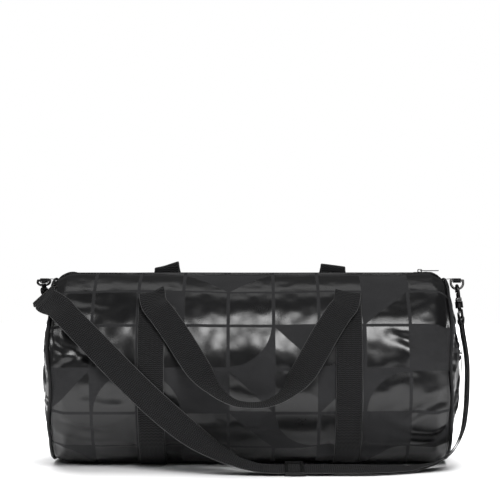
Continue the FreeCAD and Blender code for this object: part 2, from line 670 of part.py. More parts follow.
def at_eye(rig, section):
    """Stations about an eye bar for (along, normal) section points."""
    origin, z_dir = hook_frame(rig)
    bar = origin - z_dir * BAR_DROP
    width = square_to(rig["eye_dir"], z_dir)
    along = -z_dir
    normal = along.cross(width)
    return [(bar + along * u + normal * v, width) for u, v in section]


def as_keys(stations):
    return [(point.x, point.y, point.z, tuple(width)) for point, width in stations]


left, right = RIGS["left"], RIGS["right"]
# the left end is folded through its eye and sewn back on itself
left_fold = at_eye(left, [(18, -0.8), (9, -0.8)] + CURL)
# the right end passes through its eye and comes back towards the return layer
right_fold = at_eye(right, CURL + [(9, 1.5)])
run = catmull(as_keys(at_eye(left, [(9, 0.8), (20, 0.8)])) + STRAP_RUN
              + as_keys(at_eye(right, [(20, -0.9), (9, -0.9)])), 2)
save("shoulder_strap", ribbon(left_fold + run + right_fold, STRAP_T))

# the return layer follows the right part of the main layer
first = next(i for i, (point, width) in enumerate(run) if point.x > RETURN_X)
save("strap_return", ribbon(run[first:-1], STRAP_T, RETURN_OFFSET))


# adjuster frame: x along the strap, y across it, z out of its face,
# origin on the main layer's middle
def adjuster():
    """Frame of two side rails, two end bars and a middle bar."""
    bars = [box(-13, 13, *sorted((sign * 19.5, sign * 22.5)), -2.0, 3.6)
            for sign in (-1, 1)]
    bars.append(box(-13, -9.2, -20, 20, 0.95, 3.6))
    bars.append(box(9.2, 13, -20, 20, 0.95, 3.6))
    bars.append(box(-2.2, 2.2, -20, 20, -2.0, -0.85))
    return bars[0].fuse(bars[1:]).removeSplitter()


def adjuster_tail():
    """Short sewn tail that holds the adjuster's middle bar."""
    return box(2.4, 40.0, -18.8, 18.8, -1.62, -0.78)


adjuster_at = Vec(ADJ_X, ADJ_Y, ADJ_Z)
adjuster_normal = Vec(0, -TILT_SIN, TILT_COS)
save("strap_adjuster", to_frame(adjuster(), adjuster_at, X, adjuster_normal))
save("adjuster_tail", to_frame(adjuster_tail(), adjuster_at, X, adjuster_normal))
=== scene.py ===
"""A cloth duffel bag: a tube lying along X with flat round ends, resting on the floor at z = 0.

The front faces -Y and the left end is at -X. The main zip runs along the top. Two carry loops of
webbing are sewn to the walls and a shoulder strap runs from end to end across the front.
Lengths are in mm until a mesh is made; materials, floor, lights and camera are in metres.
Degrees on the tube are counted from the zip line, down the front (side -1) or the rear (side +1).
"""
import bmesh
import bpy
import math
import numpy as np
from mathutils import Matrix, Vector


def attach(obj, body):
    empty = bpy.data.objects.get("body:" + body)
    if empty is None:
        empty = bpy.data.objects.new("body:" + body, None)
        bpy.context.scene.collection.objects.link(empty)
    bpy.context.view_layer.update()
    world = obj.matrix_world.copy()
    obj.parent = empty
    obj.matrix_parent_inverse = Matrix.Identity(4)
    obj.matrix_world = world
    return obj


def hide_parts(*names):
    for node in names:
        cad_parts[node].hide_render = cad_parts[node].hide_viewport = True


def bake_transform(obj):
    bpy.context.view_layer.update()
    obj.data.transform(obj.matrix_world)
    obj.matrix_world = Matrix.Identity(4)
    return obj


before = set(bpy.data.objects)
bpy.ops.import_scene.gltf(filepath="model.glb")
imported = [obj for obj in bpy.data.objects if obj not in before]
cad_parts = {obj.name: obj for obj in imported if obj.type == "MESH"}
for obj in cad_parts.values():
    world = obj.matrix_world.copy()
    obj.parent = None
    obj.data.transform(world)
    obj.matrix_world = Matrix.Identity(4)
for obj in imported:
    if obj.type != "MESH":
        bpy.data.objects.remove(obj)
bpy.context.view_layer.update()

MM = 0.001

# ---- driving dimensions ------------------------------------------------------------------
TUBE_R = 143.0
CENTRE_Z = 137.0            # height of the tube's axis; less than TUBE_R, as the cloth slumps
END_ROUNDING = 12.0         # loss of radius from the straight tube to the end seam
SEAM_R = TUBE_R - END_ROUNDING
SEAM_X = 287.0
ROUND_X = 266.0             # where the rounding starts
CLOTH = 1.3
TILE = 64.5                 # one square of the print
LEG_X = 140.0               # centre line of the sewn carry webbing
WEBBING_WIDTH = 38.0
NARROW_WIDTH = 12.0
RING_X = {-1: -303.0, 1: 304.5}
RING_Y, RING_Z = -30.0, 268.0
END_BULGE = {-1: 16.0, 1: 22.0}
POCKET_Z = 165.0

SIDES = (("front", -1), ("rear", 1))
ENDS = (("left", -1), ("right", 1))
X_AXIS, Y_AXIS, Z_AXIS = np.eye(3)


# ---- numbers -----------------------------------------------------------------------------
def smooth(start, end, value):
    value = np.clip((np.asarray(value, float) - start) / (end - start), 0, 1)
    return value * value * (3 - 2 * value)


def bell(value, centre=0.0, width=1.0, power=2):
    return np.exp(-((value - centre) / width) ** power)


def unit(vector):
    vector = np.asarray(vector, float)
    return vector / np.maximum(np.linalg.norm(vector, axis=-1, keepdims=True), 1e-12)


def stack(*columns):
    return np.stack(np.broadcast_arrays(*columns), -1)


def grid(rows, columns):
    return np.meshgrid(rows, columns, indexing="ij")


def waves(seed, count, shortest, longest, stretch=1.0):
    """A repeatable field of soft waves; wavelengths in mm, stretched along the first axis."""
    random = np.random.RandomState(seed)
    length = np.exp(random.uniform(math.log(shortest), math.log(longest), count))
    heading = random.uniform(0, math.pi, count)
    phase = random.uniform(0, 2 * math.pi, count)
    rate_u = 2 * math.pi / length * np.cos(heading) / stretch
    rate_v = 2 * math.pi / length * np.sin(heading)
    height = (length / longest) ** 0.6

    def field(u, v):
        total = sum(height[i] * np.sin(rate_u[i] * u + rate_v[i] * v + phase[i])
                    for i in range(count))
        return total / math.sqrt((height ** 2).sum() / 2) / 1.6
    return field


WAVES_BROAD = waves(11, 14, 90, 260, 1.5)
WAVES_MID = waves(23, 16, 40, 95, 1.4)
WAVES_FINE = waves(37, 18, 14, 34, 1.1)
WAVES_RIM = waves(5, 12, 11, 40, 3.0)


# ---- places and directions on the tube ---------------------------------------------------
def around(radius, degrees, x, side):
    angle = np.radians(degrees)
    return stack(x, side * radius * np.sin(angle), CENTRE_Z + radius * np.cos(angle))


def outward(degrees, side):
    angle = np.radians(degrees)
    return stack(0.0, side * np.sin(angle), np.cos(angle))


def downhill(degrees, side):
    angle = np.radians(degrees)
    return stack(0.0, side * np.cos(angle), -np.sin(angle))


def hoop(x, radius, angle):
    """Points round the tube's axis; the angle in radians starts at +Y and turns towards +Z."""
    return stack(x, radius * np.cos(angle), CENTRE_Z + radius * np.sin(angle))


# ---- meshes ------------------------------------------------------------------------------
def new_object(name, verts, faces, materials, uvs=None, face_materials=None):
    mesh = bpy.data.meshes.new(name)
    mesh.from_pydata([tuple(point) for point in np.asarray(verts, float) * MM], [],
                     [tuple(int(i) for i in face) for face in faces])
    mesh.validate()
    if uvs is None:
        uvs = np.zeros((len(verts), 2))
    layer = mesh.uv_layers.new(name="UVMap")
    corner_verts = np.zeros(len(mesh.loops), np.int32)
    mesh.loops.foreach_get("vertex_index", corner_verts)
    layer.data.foreach_set("uv", np.asarray(uvs, np.float32)[corner_verts].ravel())
    for material in materials:
        mesh.materials.append(material)
    if face_materials is not None:
        mesh.polygons.foreach_set("material_index", np.asarray(face_materials, np.int32))
    mesh.polygons.foreach_set("use_smooth", [True] * len(mesh.polygons))
    mesh.update()
    obj = bpy.data.objects.new(name, mesh)
    bpy.context.scene.collection.objects.link(obj)
    edit = bmesh.new()
    edit.from_mesh(mesh)
    bmesh.ops.recalc_face_normals(edit, faces=edit.faces)
    edit.to_mesh(mesh)
    edit.free()
    return obj


def grid_faces(rows, columns, base=0, close_rows=False, close_columns=False, flip=False):
    index = np.arange(rows * columns).reshape(rows, columns) + base
    below = np.roll(index, -1, 0)
    quads = np.stack([index, below, np.roll(below, -1, 1), np.roll(index, -1, 1)], -1)
    quads = quads[:rows if close_rows else rows - 1, :columns if close_columns else columns - 1]
    quads = quads.reshape(-1, 4)
    return quads[:, ::-1] if flip else quads


def sheet(name, outer, normals, thickness, uvs, materials):
    """A closed sheet: outer is [rows, columns, 3], the inner side lies below it.

    The last material goes on the inner side, the first on the rest.
    """
    rows, columns = outer.shape[:2]
    count = rows * columns
    inner = outer - normals * np.asarray(thickness)[..., None]
    facing = np.cross(np.gradient(outer, axis=0), np.gradient(outer, axis=1))
    flip = (facing * normals).sum() < 0
    top = grid_faces(rows, columns, 0, flip=flip)
    bottom = grid_faces(rows, columns, count, flip=not flip)
    index = np.arange(count).reshape(rows, columns)
    border = [*index[0, :-1], *index[:-1, -1], *index[-1, :0:-1], *index[:0:-1, 0]]
    rim = np.array([(a, a + count, b + count, b) for a, b in zip(border, border[1:] + border[:1])])
    if flip:
        rim = rim[:, ::-1]
    face_materials = np.concatenate([np.zeros(len(top)), np.full(len(bottom), len(materials) - 1),
                                     np.zeros(len(rim))])
    return new_object(name, np.concatenate([outer.reshape(-1, 3), inner.reshape(-1, 3)]),
                      np.concatenate([top, bottom, rim]), materials,
                      np.concatenate([uvs.reshape(-1, 2)] * 2), face_materials)


def tube(name, rings, material, uvs=None, closed=False):
    """A skin over rings [stations, points, 3], joined end to end if closed, else capped."""
    rows, columns = rings.shape[:2]
    faces = list(grid_faces(rows, columns, close_rows=closed, close_columns=True))
    if not closed:
        faces += [range(columns), range((rows - 1) * columns, rows * columns)[::-1]]
    return new_object(name, rings.reshape(-1, 3), faces, [material], uvs)


def beads(name, centres, along, up, half_size, material):
    """Small soft lozenges: stitches and zip teeth. half_size is half length, width, height."""
    centres = np.asarray(centres, float)
    along = np.broadcast_to(unit(along), centres.shape)
    up = np.broadcast_to(unit(up), centres.shape)
    up = unit(up - along * (up * along).sum(1, keepdims=True))
    across = np.cross(up, along)
    length, width, height = half_size
    local = []
    for station, girth in ((-1.0, 0.35), (-0.6, 0.9), (0.6, 0.9), (1.0, 0.35)):
        for corner in range(6):
            angle = 2 * math.pi * corner / 6
            local.append((station * length, math.cos(angle) * width * girth,
                          math.sin(angle) * height * girth))
    local = np.array(local)
    verts = (centres[:, None] + local[None, :, :1] * along[:, None]
             + local[None, :, 1:2] * across[:, None] + local[None, :, 2:] * up[:, None])
    bead = []
    for ring in range(3):
        for i in range(6):
            j = (i + 1) % 6
            bead.append((ring * 6 + i, ring * 6 + j, (ring + 1) * 6 + j, (ring + 1) * 6 + i))
    bead += [range(6)[::-1], range(18, 24)]
    faces = [[i + 24 * number for i in face] for number in range(len(centres)) for face in bead]
    return new_object(name, verts.reshape(-1, 3), faces, [material])


def stitches(name, centres, along, up, half_length, half_width=0.34, half_height=0.30):
    return beads(name, centres, along, up, (half_length, half_width, half_height), THREAD)


def join_rows(rows):
    """Turns rows of (centres, along, up) into three long arrays."""
    return [np.concatenate(part) for part in zip(*rows)]


# ---- webbing -----------------------------------------------------------------------------
def resample(path, width_dirs, step):
    width_dirs = unit(width_dirs)
    lengths = np.linalg.norm(np.diff(path, axis=0), axis=1)
    distance = np.concatenate([[0], np.cumsum(lengths)])
    count = max(int(distance[-1] / step), 4)
    even = np.linspace(0, distance[-1], count + 1)

    def spread(values):
        return np.stack([np.interp(even, distance, values[:, k]) for k in range(3)], 1)
    return spread(path), unit(spread(width_dirs)), even


def relax(values, times):
    values = values.copy()
    for _ in range(times):
        values[1:-1] = 0.25 * values[:-2] + 0.5 * values[1:-1] + 0.25 * values[2:]
    return values


def catmull(keys, per_span=8):
    """A smooth path through keys of (x, y, z, width direction)."""
    places = np.array([key[:3] for key in keys], float)
    widths = unit(np.array([key[3] for key in keys], float))
    last = len(places) - 1
    path, width_dirs = [], []
    for i in range(last):
        before, start, end, after = (places[j] for j in (max(i - 1, 0), i, i + 1,
                                                         min(i + 2, last)))
        for j in range(per_span):
            u = j / per_span
            path.append(0.5 * (2 * start + (end - before) * u
                               + (2 * before - 5 * start + 4 * end - after) * u ** 2
                               + (3 * start - before - 3 * end + after) * u ** 3))
            width_dirs.append(widths[i] * (1 - u) + widths[i + 1] * u)
    path.append(places[-1])
    width_dirs.append(widths[-1])
    return np.array(path), unit(np.array(width_dirs))


def path_frames(path, width_dirs):
    """Width directions squared to the path, and the normals."""
    tangents = unit(np.gradient(path, axis=0))
    width_dirs = unit(width_dirs - tangents * (width_dirs * tangents).sum(1, keepdims=True))
    return width_dirs, np.cross(tangents, width_dirs)


# half of the webbing's section: place across the half width, height in half thicknesses
BAND_TOP = [(-1.0, 0.0), (-0.97, 0.72), (-0.86, 1.0), (-0.55, 1.0), (-0.2, 1.0),
            (0.2, 1.0), (0.55, 1.0), (0.86, 1.0), (0.97, 0.72), (1.0, 0.0)]
BAND_SECTION = BAND_TOP + [(across, -height) for across, height in BAND_TOP[-2:0:-1]]


def ribbon(name, path, width_dirs, material, step, half=WEBBING_WIDTH / 2, thickness=1.45,
           curl=0.35, relax_times=2):
    """A flat band, cupped by curl across its width; also returns each vertex's place along it."""
    path, width_dirs, distance = resample(path, width_dirs, step)
    path = relax(path, relax_times)
    width_dirs = unit(relax(width_dirs, relax_times + 3))
    width_dirs, normals = path_frames(path, width_dirs)
    rings = np.stack([path + width_dirs * (across * half)
                      + normals * (height * thickness / 2 + curl * (across * across - 0.4))
                      for across, height in BAND_SECTION], 1)
    uvs = np.stack([stack((across + 1) * half, distance) for across, _ in BAND_SECTION], 1)
    obj = tube(name, rings, material, uvs.reshape(-1, 2))
    obj["len"] = float(distance[-1])
    return obj, np.repeat(distance, len(BAND_SECTION))


# ---- ties to the CAD frame ---------------------------------------------------------------
def describe(replaced):
    if replaced:
        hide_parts(*replaced)


def ride(obj, body, slot=None, *replaced):
    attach(obj, body)
    describe(replaced)


def blend(obj, body, weights, slot=None, *replaced):
    """Bakes obj's transform into its mesh and hides the parts it replaces; body and weights are not
    used.
    """
    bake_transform(obj)
    describe(replaced)


# ---- materials ---------------------------------------------------------------------------
class Material:
    """A Principled material and short ways to add nodes to it."""

    def __init__(self, name):
        self.data = bpy.data.materials.new(name)
        self.data.use_nodes = True
        self.tree = self.data.node_tree
        self.bsdf = self.tree.nodes["Principled BSDF"]

    def put(self, socket, value):
        if hasattr(value, "links"):
            self.tree.links.new(value, socket)
        elif value is not None:
            socket.default_value = value

    def set(self, name, value):
        self.put(self.bsdf.inputs[name], value)

    def node(self, kind, inputs=None, **properties):
        node = self.tree.nodes.new(kind)
        for key, value in properties.items():
            setattr(node, key, value)
        for key, value in (inputs or {}).items():
            self.put(node.inputs[key], value)
        return node

    def math(self, operation, *values, clamp=False):
        node = self.node("ShaderNodeMath", operation=operation, use_clamp=clamp)
        for socket, value in zip(node.inputs, values):
            self.put(socket, value)
        return node.outputs[0]

    def add(self, first, second):
        return self.math("ADD", first, second)

    def minus(self, first, second):
        return self.math("SUBTRACT", first, second)

    def times(self, first, second):
        return self.math("MULTIPLY", first, second)

    def above(self, first, second):
        return self.math("GREATER_THAN", first, second)

    def sine(self, value, rate):
        return self.math("SINE", self.times(value, rate))

    def mix(self, factor, first, second):
        return self.add(self.times(first, self.minus(1.0, factor)), self.times(second, factor))

    def colour(self, factor, first, second):
        node = self.node("ShaderNodeMix", data_type="RGBA")
        # sockets 6 and 7 are the colour pair, output 2 the mixed colour
        for socket, value in ((0, factor), (6, first), (7, second)):
            self.put(node.inputs[socket], (*value, 1) if isinstance(value, tuple) else value)
        return node.outputs[2]

    def uv(self):
        split = self.node("ShaderNodeSeparateXYZ")
        self.put(split.inputs[0], self.node("ShaderNodeUVMap", uv_map="UVMap").outputs[0])
        return split.outputs[0], split.outputs[1]

    def object_coords(self):
        return self.node("ShaderNodeTexCoord").outputs["Object"]

    def noise(self, vector, scale, detail=3.0, roughness=0.55):
        return self.node("ShaderNodeTexNoise", {"Vector": vector, "Scale": scale, "Detail": detail,
                                                "Roughness": roughness}).outputs[0]

    def bump(self, height, strength, distance, normal=None):
        return self.node("ShaderNodeBump", {"Strength": strength, "Distance": distance,
                                            "Height": height, "Normal": normal}).outputs[0]


def print_cloth():
    """Matt cloth printed with glossier squares, quarter discs and triangles; uv is in tiles."""
    mat = Material("tile_print_cloth")
    u, v = mat.uv()
    cell_u, cell_v = mat.math("FLOOR", u), mat.math("FLOOR", v)
    in_u, in_v = mat.minus(u, cell_u), mat.minus(v, cell_v)

    def cell_random(first, second, salt):
        cell = mat.node("ShaderNodeCombineXYZ", {0: first, 1: second, 2: salt}).outputs[0]
        return mat.node("ShaderNodeTexWhiteNoise", {"Vector": cell},
                        noise_dimensions="3D").outputs[0]

    def exceeds(high, low):
        # a step with a narrow soft edge
        return mat.math("MULTIPLY_ADD", mat.minus(high, low), 110.0, 0.5, clamp=True)

    shape_pick = cell_random(cell_u, cell_v, 3.0)
    turn_pick = cell_random(cell_v, cell_u, 9.0)
    # every other tile is mirrored, so that quarter discs meet
    odd_u = mat.math("MODULO", mat.add(cell_u, 100.0), 2.0)
    odd_v = mat.math("MODULO", mat.add(cell_v, 100.0), 2.0)
    corner_u = mat.mix(odd_u, in_u, mat.minus(1.0, in_u))
    corner_v = mat.mix(odd_v, in_v, mat.minus(1.0, in_v))
    from_corner = mat.math("SQRT", mat.add(mat.times(corner_u, corner_u),
                                           mat.times(corner_v, corner_v)))
    quarter_disc = exceeds(0.955, from_corner)
    turned_u = mat.mix(mat.above(turn_pick, 0.5), in_u, mat.minus(1.0, in_u))
    triangle = exceeds(1.0, mat.add(turned_u, in_v))
    # shares of the tiles: full squares, then quarter discs, triangles and blanks
    is_quarter = mat.above(shape_pick, 0.42)
    is_triangle = mat.above(shape_pick, 0.72)
    is_blank = mat.above(shape_pick, 0.90)
    shape = mat.mix(is_quarter, 1.0, quarter_disc)
    shape = mat.mix(is_triangle, shape, triangle)
    shape = mat.mix(is_blank, shape, 0.0)
    edge_u = mat.math("MINIMUM", in_u, mat.minus(1.0, in_u))
    edge_v = mat.math("MINIMUM", in_v, mat.minus(1.0, in_v))
    # an unprinted line runs between the tiles
    gloss = mat.times(shape, exceeds(mat.math("MINIMUM", edge_u, edge_v), 0.034))
    thread_rate = 2 * math.pi * 68     # 68 waves to a tile, about one a millimetre
    weave = mat.times(mat.sine(u, thread_rate), mat.sine(v, thread_rate))
    coords = mat.object_coords()
    grain = mat.noise(coords, scale=900.0, detail=2.0)
    broad = mat.noise(coords, scale=22.0)
    slub = mat.noise(coords, scale=160.0, detail=4.0, roughness=0.6)
    ground = mat.colour(broad, (0.021, 0.021, 0.022), (0.033, 0.033, 0.0345))
    ink = mat.colour(slub, (0.0040, 0.0040, 0.0044), (0.0065, 0.0065, 0.0070))
    # each pair below is bare cloth, then print
    mat.set("Base Color", mat.colour(gloss, ground, ink))
    ink_roughness = mat.mix(broad, 0.23, 0.30)
    mat.set("Roughness", mat.mix(gloss, 0.86, mat.add(ink_roughness, mat.times(grain, 0.05))))
    mat.set("Specular IOR Level", mat.mix(gloss, 0.14, 0.60))
    mat.set("Sheen Weight", mat.mix(gloss, 0.06, 0.0))
    mat.set("Sheen Roughness", 0.5)
    # the print half fills the weave and stands a little proud of it
    height = mat.add(mat.times(weave, mat.mix(gloss, 1.0, 0.12)), mat.times(gloss, 0.5))
    woven = mat.bump(height, strength=0.25, distance=0.00030)
    lumps = mat.add(mat.times(slub, 0.35), mat.times(broad, 2.0))
    mat.set("Normal", mat.bump(lumps, strength=0.16, distance=0.0011, normal=woven))
    return mat.data


def cloth(name, dark, light, thread, roughness, sheen):
    """A plain weave; thread is the wavelength in mm."""
    mat = Material(name)
    coords = mat.object_coords()
    split = mat.node("ShaderNodeSeparateXYZ", {0: coords})
    x, y, z = split.outputs
    rate = 2 * math.pi / (thread * MM)
    lengthwise = mat.sine(x, rate)
    weave = mat.times(lengthwise, mat.sine(mat.add(z, y), rate))
    mottle = mat.noise(coords, scale=120.0, detail=4.0, roughness=0.6)
    tone = mat.math("MULTIPLY_ADD", weave, 0.25, mottle, clamp=True)
    mat.set("Base Color", mat.colour(tone, dark, light))
    mat.set("Roughness", mat.mix(mottle, roughness - 0.08, roughness + 0.06))
    mat.set("Specular IOR Level", 0.3)
    mat.set("Sheen Weight", sheen)
    mat.set("Normal", mat.bump(mat.add(weave, mottle), strength=0.4, distance=0.0003))
    return mat.data


def webbing(name, width, columns):
    """Chevron columns, a plain selvedge and a lighter thread at each edge; uv is in mm."""
    chevron_pitch, cord_pitch = 2.9, 1.05
    selvedge_width, thread_width = 1.9, 0.75
    mat = Material(name)
    u, v = mat.uv()
    in_column = mat.math("FRACT", mat.math("DIVIDE", u, width / columns))
    zigzag = mat.math("ABSOLUTE", mat.minus(in_column, 0.5))
    phase = mat.add(mat.math("DIVIDE", v, chevron_pitch), mat.times(zigzag, 0.9))
    rib = mat.math("MULTIPLY_ADD", mat.sine(phase, 2 * math.pi), 0.5, 0.5)
    cords = mat.math("MULTIPLY_ADD", mat.sine(u, 2 * math.pi / cord_pitch), 0.5, 0.5)
    from_middle = mat.math("ABSOLUTE", mat.minus(u, width / 2))
    selvedge = mat.above(from_middle, width / 2 - selvedge_width)
    edge_thread = mat.above(from_middle, width / 2 - thread_width)
    mottle = mat.noise(mat.object_coords(), scale=260.0)
    base = mat.colour(mat.times(rib, 0.9), (0.0028, 0.0028, 0.003), (0.027, 0.027, 0.0285))
    base = mat.colour(edge_thread, base, (0.12, 0.12, 0.122))
    base = mat.colour(mat.times(mottle, 0.30), base, (0.007, 0.007, 0.0075))
    mat.set("Base Color", base)
    mat.set("Roughness", mat.mix(rib, 0.78, 0.58))
    mat.set("Specular IOR Level", 0.16)
    mat.set("Sheen Weight", 0.05)
    height = mat.add(mat.mix(selvedge, rib, cords), mat.times(cords, 0.25))
    mat.set("Normal", mat.bump(height, strength=1.0, distance=0.0010))
    return mat.data


def metal(name, dark, light, roughness):
    mat = Material(name)
    coords = mat.object_coords()
    mottle = mat.noise(coords, scale=90.0, detail=5.0, roughness=0.6)
    fine = mat.noise(coords, scale=1400.0, detail=2.0)
    pointiness = mat.node("ShaderNodeNewGeometry").outputs["Pointiness"]
    # sharp edges are worn brighter, in patches
    wear = mat.math("MULTIPLY_ADD", mat.minus(pointiness, 0.53), 9.0,
                    mat.times(mat.minus(mottle, 0.55), 0.8), clamp=True)
    mat.set("Base Color", mat.colour(wear, mat.colour(mottle, dark, light), (0.11, 0.11, 0.11)))
    mat.set("Metallic", 1.0)
    mat.set("Roughness", mat.add(mat.mix(mottle, roughness - 0.06, roughness + 0.10),
                                 mat.times(fine, 0.05)))
    mat.set("Normal", mat.bump(mat.add(mottle, fine), strength=0.12, distance=0.0002))
    return mat.data


PRINT = print_cloth()
LINING = cloth("lining_cloth", dark=(0.040, 0.040, 0.044), light=(0.075, 0.075, 0.080),
               thread=1.1, roughness=0.85, sheen=0.1)
TAPE = cloth("zip_tape_cloth", dark=(0.010, 0.010, 0.011), light=(0.024, 0.024, 0.026),
             thread=0.9, roughness=0.9, sheen=0.15)
PIPING = cloth("piping_cloth", dark=(0.005, 0.005, 0.0055), light=(0.012, 0.012, 0.013),
               thread=1.0, roughness=0.62, sheen=0.04)
THREAD = cloth("sewing_thread", dark=(0.012, 0.012, 0.013), light=(0.030, 0.030, 0.032),
               thread=0.5, roughness=0.6, sheen=0.05)
COIL = metal("zip_coil_metal", dark=(0.05, 0.048, 0.046), light=(0.11, 0.105, 0.10),
             roughness=0.34)
WEBBING = webbing("herringbone_webbing", width=WEBBING_WIDTH, columns=6)
NARROW_WEBBING = webbing("narrow_webbing", width=NARROW_WIDTH, columns=3)
GUNMETAL = metal("gunmetal_plate", dark=(0.030, 0.029, 0.029), light=(0.070, 0.068, 0.067),
                 roughness=0.25)
# the black finish is a dark, rather glossy version of the cloth
BLACKENED = cloth("blackened_metal", dark=(0.006, 0.006, 0.006), light=(0.011, 0.011, 0.011),
                  thread=0.3, roughness=0.5, sheen=0.0)
SPRING = metal("spring_wire", dark=(0.12, 0.12, 0.12), light=(0.22, 0.22, 0.22), roughness=0.30)


# ---- body shell --------------------------------------------------------------------------
# where each end seam is pulled in: depth in mm, centre and width in degrees from the zip
SEAM_PULLS = {-1: ((6.5, 98, 17.0), (2.2, 52, 14.0), (2.0, 135, 10.0)),
              1: ((4.6, 84, 19.0), (2.2, 122, 13.0), (1.4, 40, 12.0))}

# long folds: x and arc length from the zip at the start, the same at the end, half width, depth
FOLDS = [
    (-284, 225, -205, 188, 8, 3.4), (-284, 300, -190, 318, 9, 3.2),
    (-285, 165, -225, 205, 7, 2.8), (286, 150, 214, 176, 9, 3.6),
    (286, 196, 196, 168, 8, 3.2), (285, 262, 205, 292, 9, 3.6),
    (286, 322, 188, 308, 8, 3.0), (-100, 318, 96, 326, 11, 2.4),
    (-215, 352, -40, 344, 9, 2.6), (60, 356, 250, 345, 10, 2.8),
    (-60, 150, 70, 158, 22, 2.0), (166, 120, 262, 96, 16, 2.6),
    (-262, 98, -170, 128, 14, 2.6), (-20, 205, 110, 246, 15, 1.8),
    (-110, 262, 10, 240, 15, 1.8), (165, 230, 250, 214, 12, 2.4),
    (-250, 262, -165, 250, 12, 2.4)]

HEM_DEG = 4.1               # edge of the cloth beside the zip
ZIP_STITCH_DEG = 6.3
FLOOR_CLEARANCE = 0.7


def tube_radius(x):
    """Straight, then rounding in towards the end seams."""
    u = np.clip((np.abs(x) - ROUND_X) / (SEAM_X - ROUND_X), 0, 1)
    return TUBE_R - END_ROUNDING * (0.13 * u + 0.87 * u ** 2.1)


def seam_pull(end, degrees):
    return sum(depth * bell(degrees, centre, width) for depth, centre, width in SEAM_PULLS[end])


def fold_depth(x, arc, variant):
    """Depth of the long folds; variant 1 shifts their ends at random, variant 0 does not."""
    random = np.random.RandomState(variant)
    total = 0.0
    for x0, arc0, x1, arc1, half_width, depth in FOLDS:
        jitter = random.uniform(-1, 1, 6)
        x0, x1 = x0 + jitter[0] * 6 * variant, x1 + jitter[1] * 14 * variant
        arc0, arc1 = arc0 + jitter[2] * 16 * variant, arc1 + jitter[3] * 16 * variant
        run_x, run_arc = x1 - x0, arc1 - arc0
        length = math.hypot(run_x, run_arc)
        along = ((x - x0) * run_x + (arc - arc0) * run_arc) / length ** 2
        across = ((x - x0) * -run_arc + (arc - arc0) * run_x) / length
        across = (across + 4.0 * np.sin(along * 5 + jitter[4] * 3)) / half_width
        fade = smooth(-0.12, 0.2, along) * (1 - smooth(0.7, 1.2, along))
        # a valley with a lower ridge on either side
        total += depth * fade * (bell(across) - 0.45 * bell(across, 1.7)
                                 - 0.25 * bell(across, -1.8))
    return total


def shell_points(x, degrees, side):
    variant = int(side > 0)
    arc = np.radians(degrees) * TUBE_R
    # slack in the cloth, as a depth below the full tube
    sink = (1.5 + 1.7 * WAVES_BROAD(x + 400 * variant, arc)
            + 1.1 * WAVES_MID(x, arc + 300 * variant) * (0.5 + 0.5 * smooth(120, 270, np.abs(x))))
    sink = sink + 0.32 * WAVES_FINE(x, arc + 90 * variant)
    sink = sink + fold_depth(x, arc, variant)
    # puckers and a groove beside the end seams
    edge = SEAM_X - np.abs(x)
    pucker = WAVES_RIM(arc + 700 * (x > 0) + 350 * variant, edge * 0.25)
    sink = sink + pucker * 2.3 * np.exp(-edge / 26.0) + 2.2 * bell(edge, 13, 8.0)
    # flat beneath the sewn webbing, flatter beneath the free part, drawn in at the sewn edges
    beneath = bell(np.abs(x), LEG_X, 23.0, 6)
    sewn = beneath * smooth(108, 116, degrees)
    free = beneath * (1 - smooth(108, 116, degrees))
    sink = sink * (1 - 0.85 * sewn) * (1 - 0.35 * free) + 0.2 * sewn
    sink = sink + (1.5 * bell(np.abs(np.abs(x) - LEG_X), 23, 6.0) * smooth(104, 118, degrees)
                   * (1 - smooth(152, 160, degrees)))
    # sag along the top between the ends
    sag = np.cos(np.clip(x / 260.0, -1, 1) * math.pi / 2)
    sink = sink + (1 - smooth(0, 55, degrees)) * 1.6 * sag
    sink = np.minimum(np.maximum(sink, 0.1), 9.0)
    # the end seams and the zip edge are held
    sink = sink * smooth(0, 7, edge) * smooth(3.9, 9, degrees) + 0.35
    x_pull = (np.where(x < 0, seam_pull(-1, degrees), seam_pull(1, degrees))
              * bell(edge, 0, 24.0, 1.5))
    points = around(tube_radius(x) - sink, degrees, x - np.sign(x) * x_pull, side)
    # a soft clamp rests the cloth on the floor
    z = points[..., 2]
    above_floor = z - FLOOR_CLEARANCE
    resting = FLOOR_CLEARANCE + 0.5 * (above_floor + np.sqrt(above_floor ** 2 + 9.0))
    resting = np.where(z > 40, z, resting - 0.9 * (1 - smooth(6, 40, z)))
    points[..., 2] = np.maximum(resting, FLOOR_CLEARANCE)
    return points


def mouth_weight(x, degrees):
    """1 in the middle of the mouth, falling to 0 towards the ends and down the wall."""
    along = smooth(-228, -120, x) * (1 - smooth(150, 256, x))
    return along * (1 - smooth(7.0, 84.0, degrees))


def shell(name, side):
    x, degrees = grid(np.linspace(-SEAM_X, SEAM_X, 231),
                      np.concatenate([np.linspace(HEM_DEG, 7.0, 5)[:-1],
                                      np.linspace(7.0, 180.0, 152)]))
    points = shell_points(x, degrees, side)
    radial = outward(degrees, side)
    # rolled hem beside the zip, with a fine groove along it
    hem = bell(degrees, 5.3, 0.75) * 0.7 - 0.3 * bell(degrees, 6.6, 0.3)
    points = points + radial * hem[..., None] * (np.abs(x) < 275)[..., None]
    normals = unit(np.cross(np.gradient(points, axis=0), np.gradient(points, axis=1)))
    normals = normals * np.sign((normals * radial).sum(-1, keepdims=True))
    underside = (points[..., 2] < 8) & (degrees > 160)
    normals = unit(np.where(underside[..., None], -Z_AXIS, normals))
    uvs = stack(x / TILE + 0.48, -np.radians(degrees) * TUBE_R / TILE + 0.35 + (side > 0) * 7)
    obj = sheet(f"{name}_shell", points, normals, CLOTH, uvs, [PRINT, LINING])
    blend(obj, f"{name}_mouth", np.tile(mouth_weight(x, degrees).ravel(), 2), "shell_fabric",
          f"{name}_panel", f"{name}_mouth_panel")


for name, side in SIDES:
    shell(name, side)


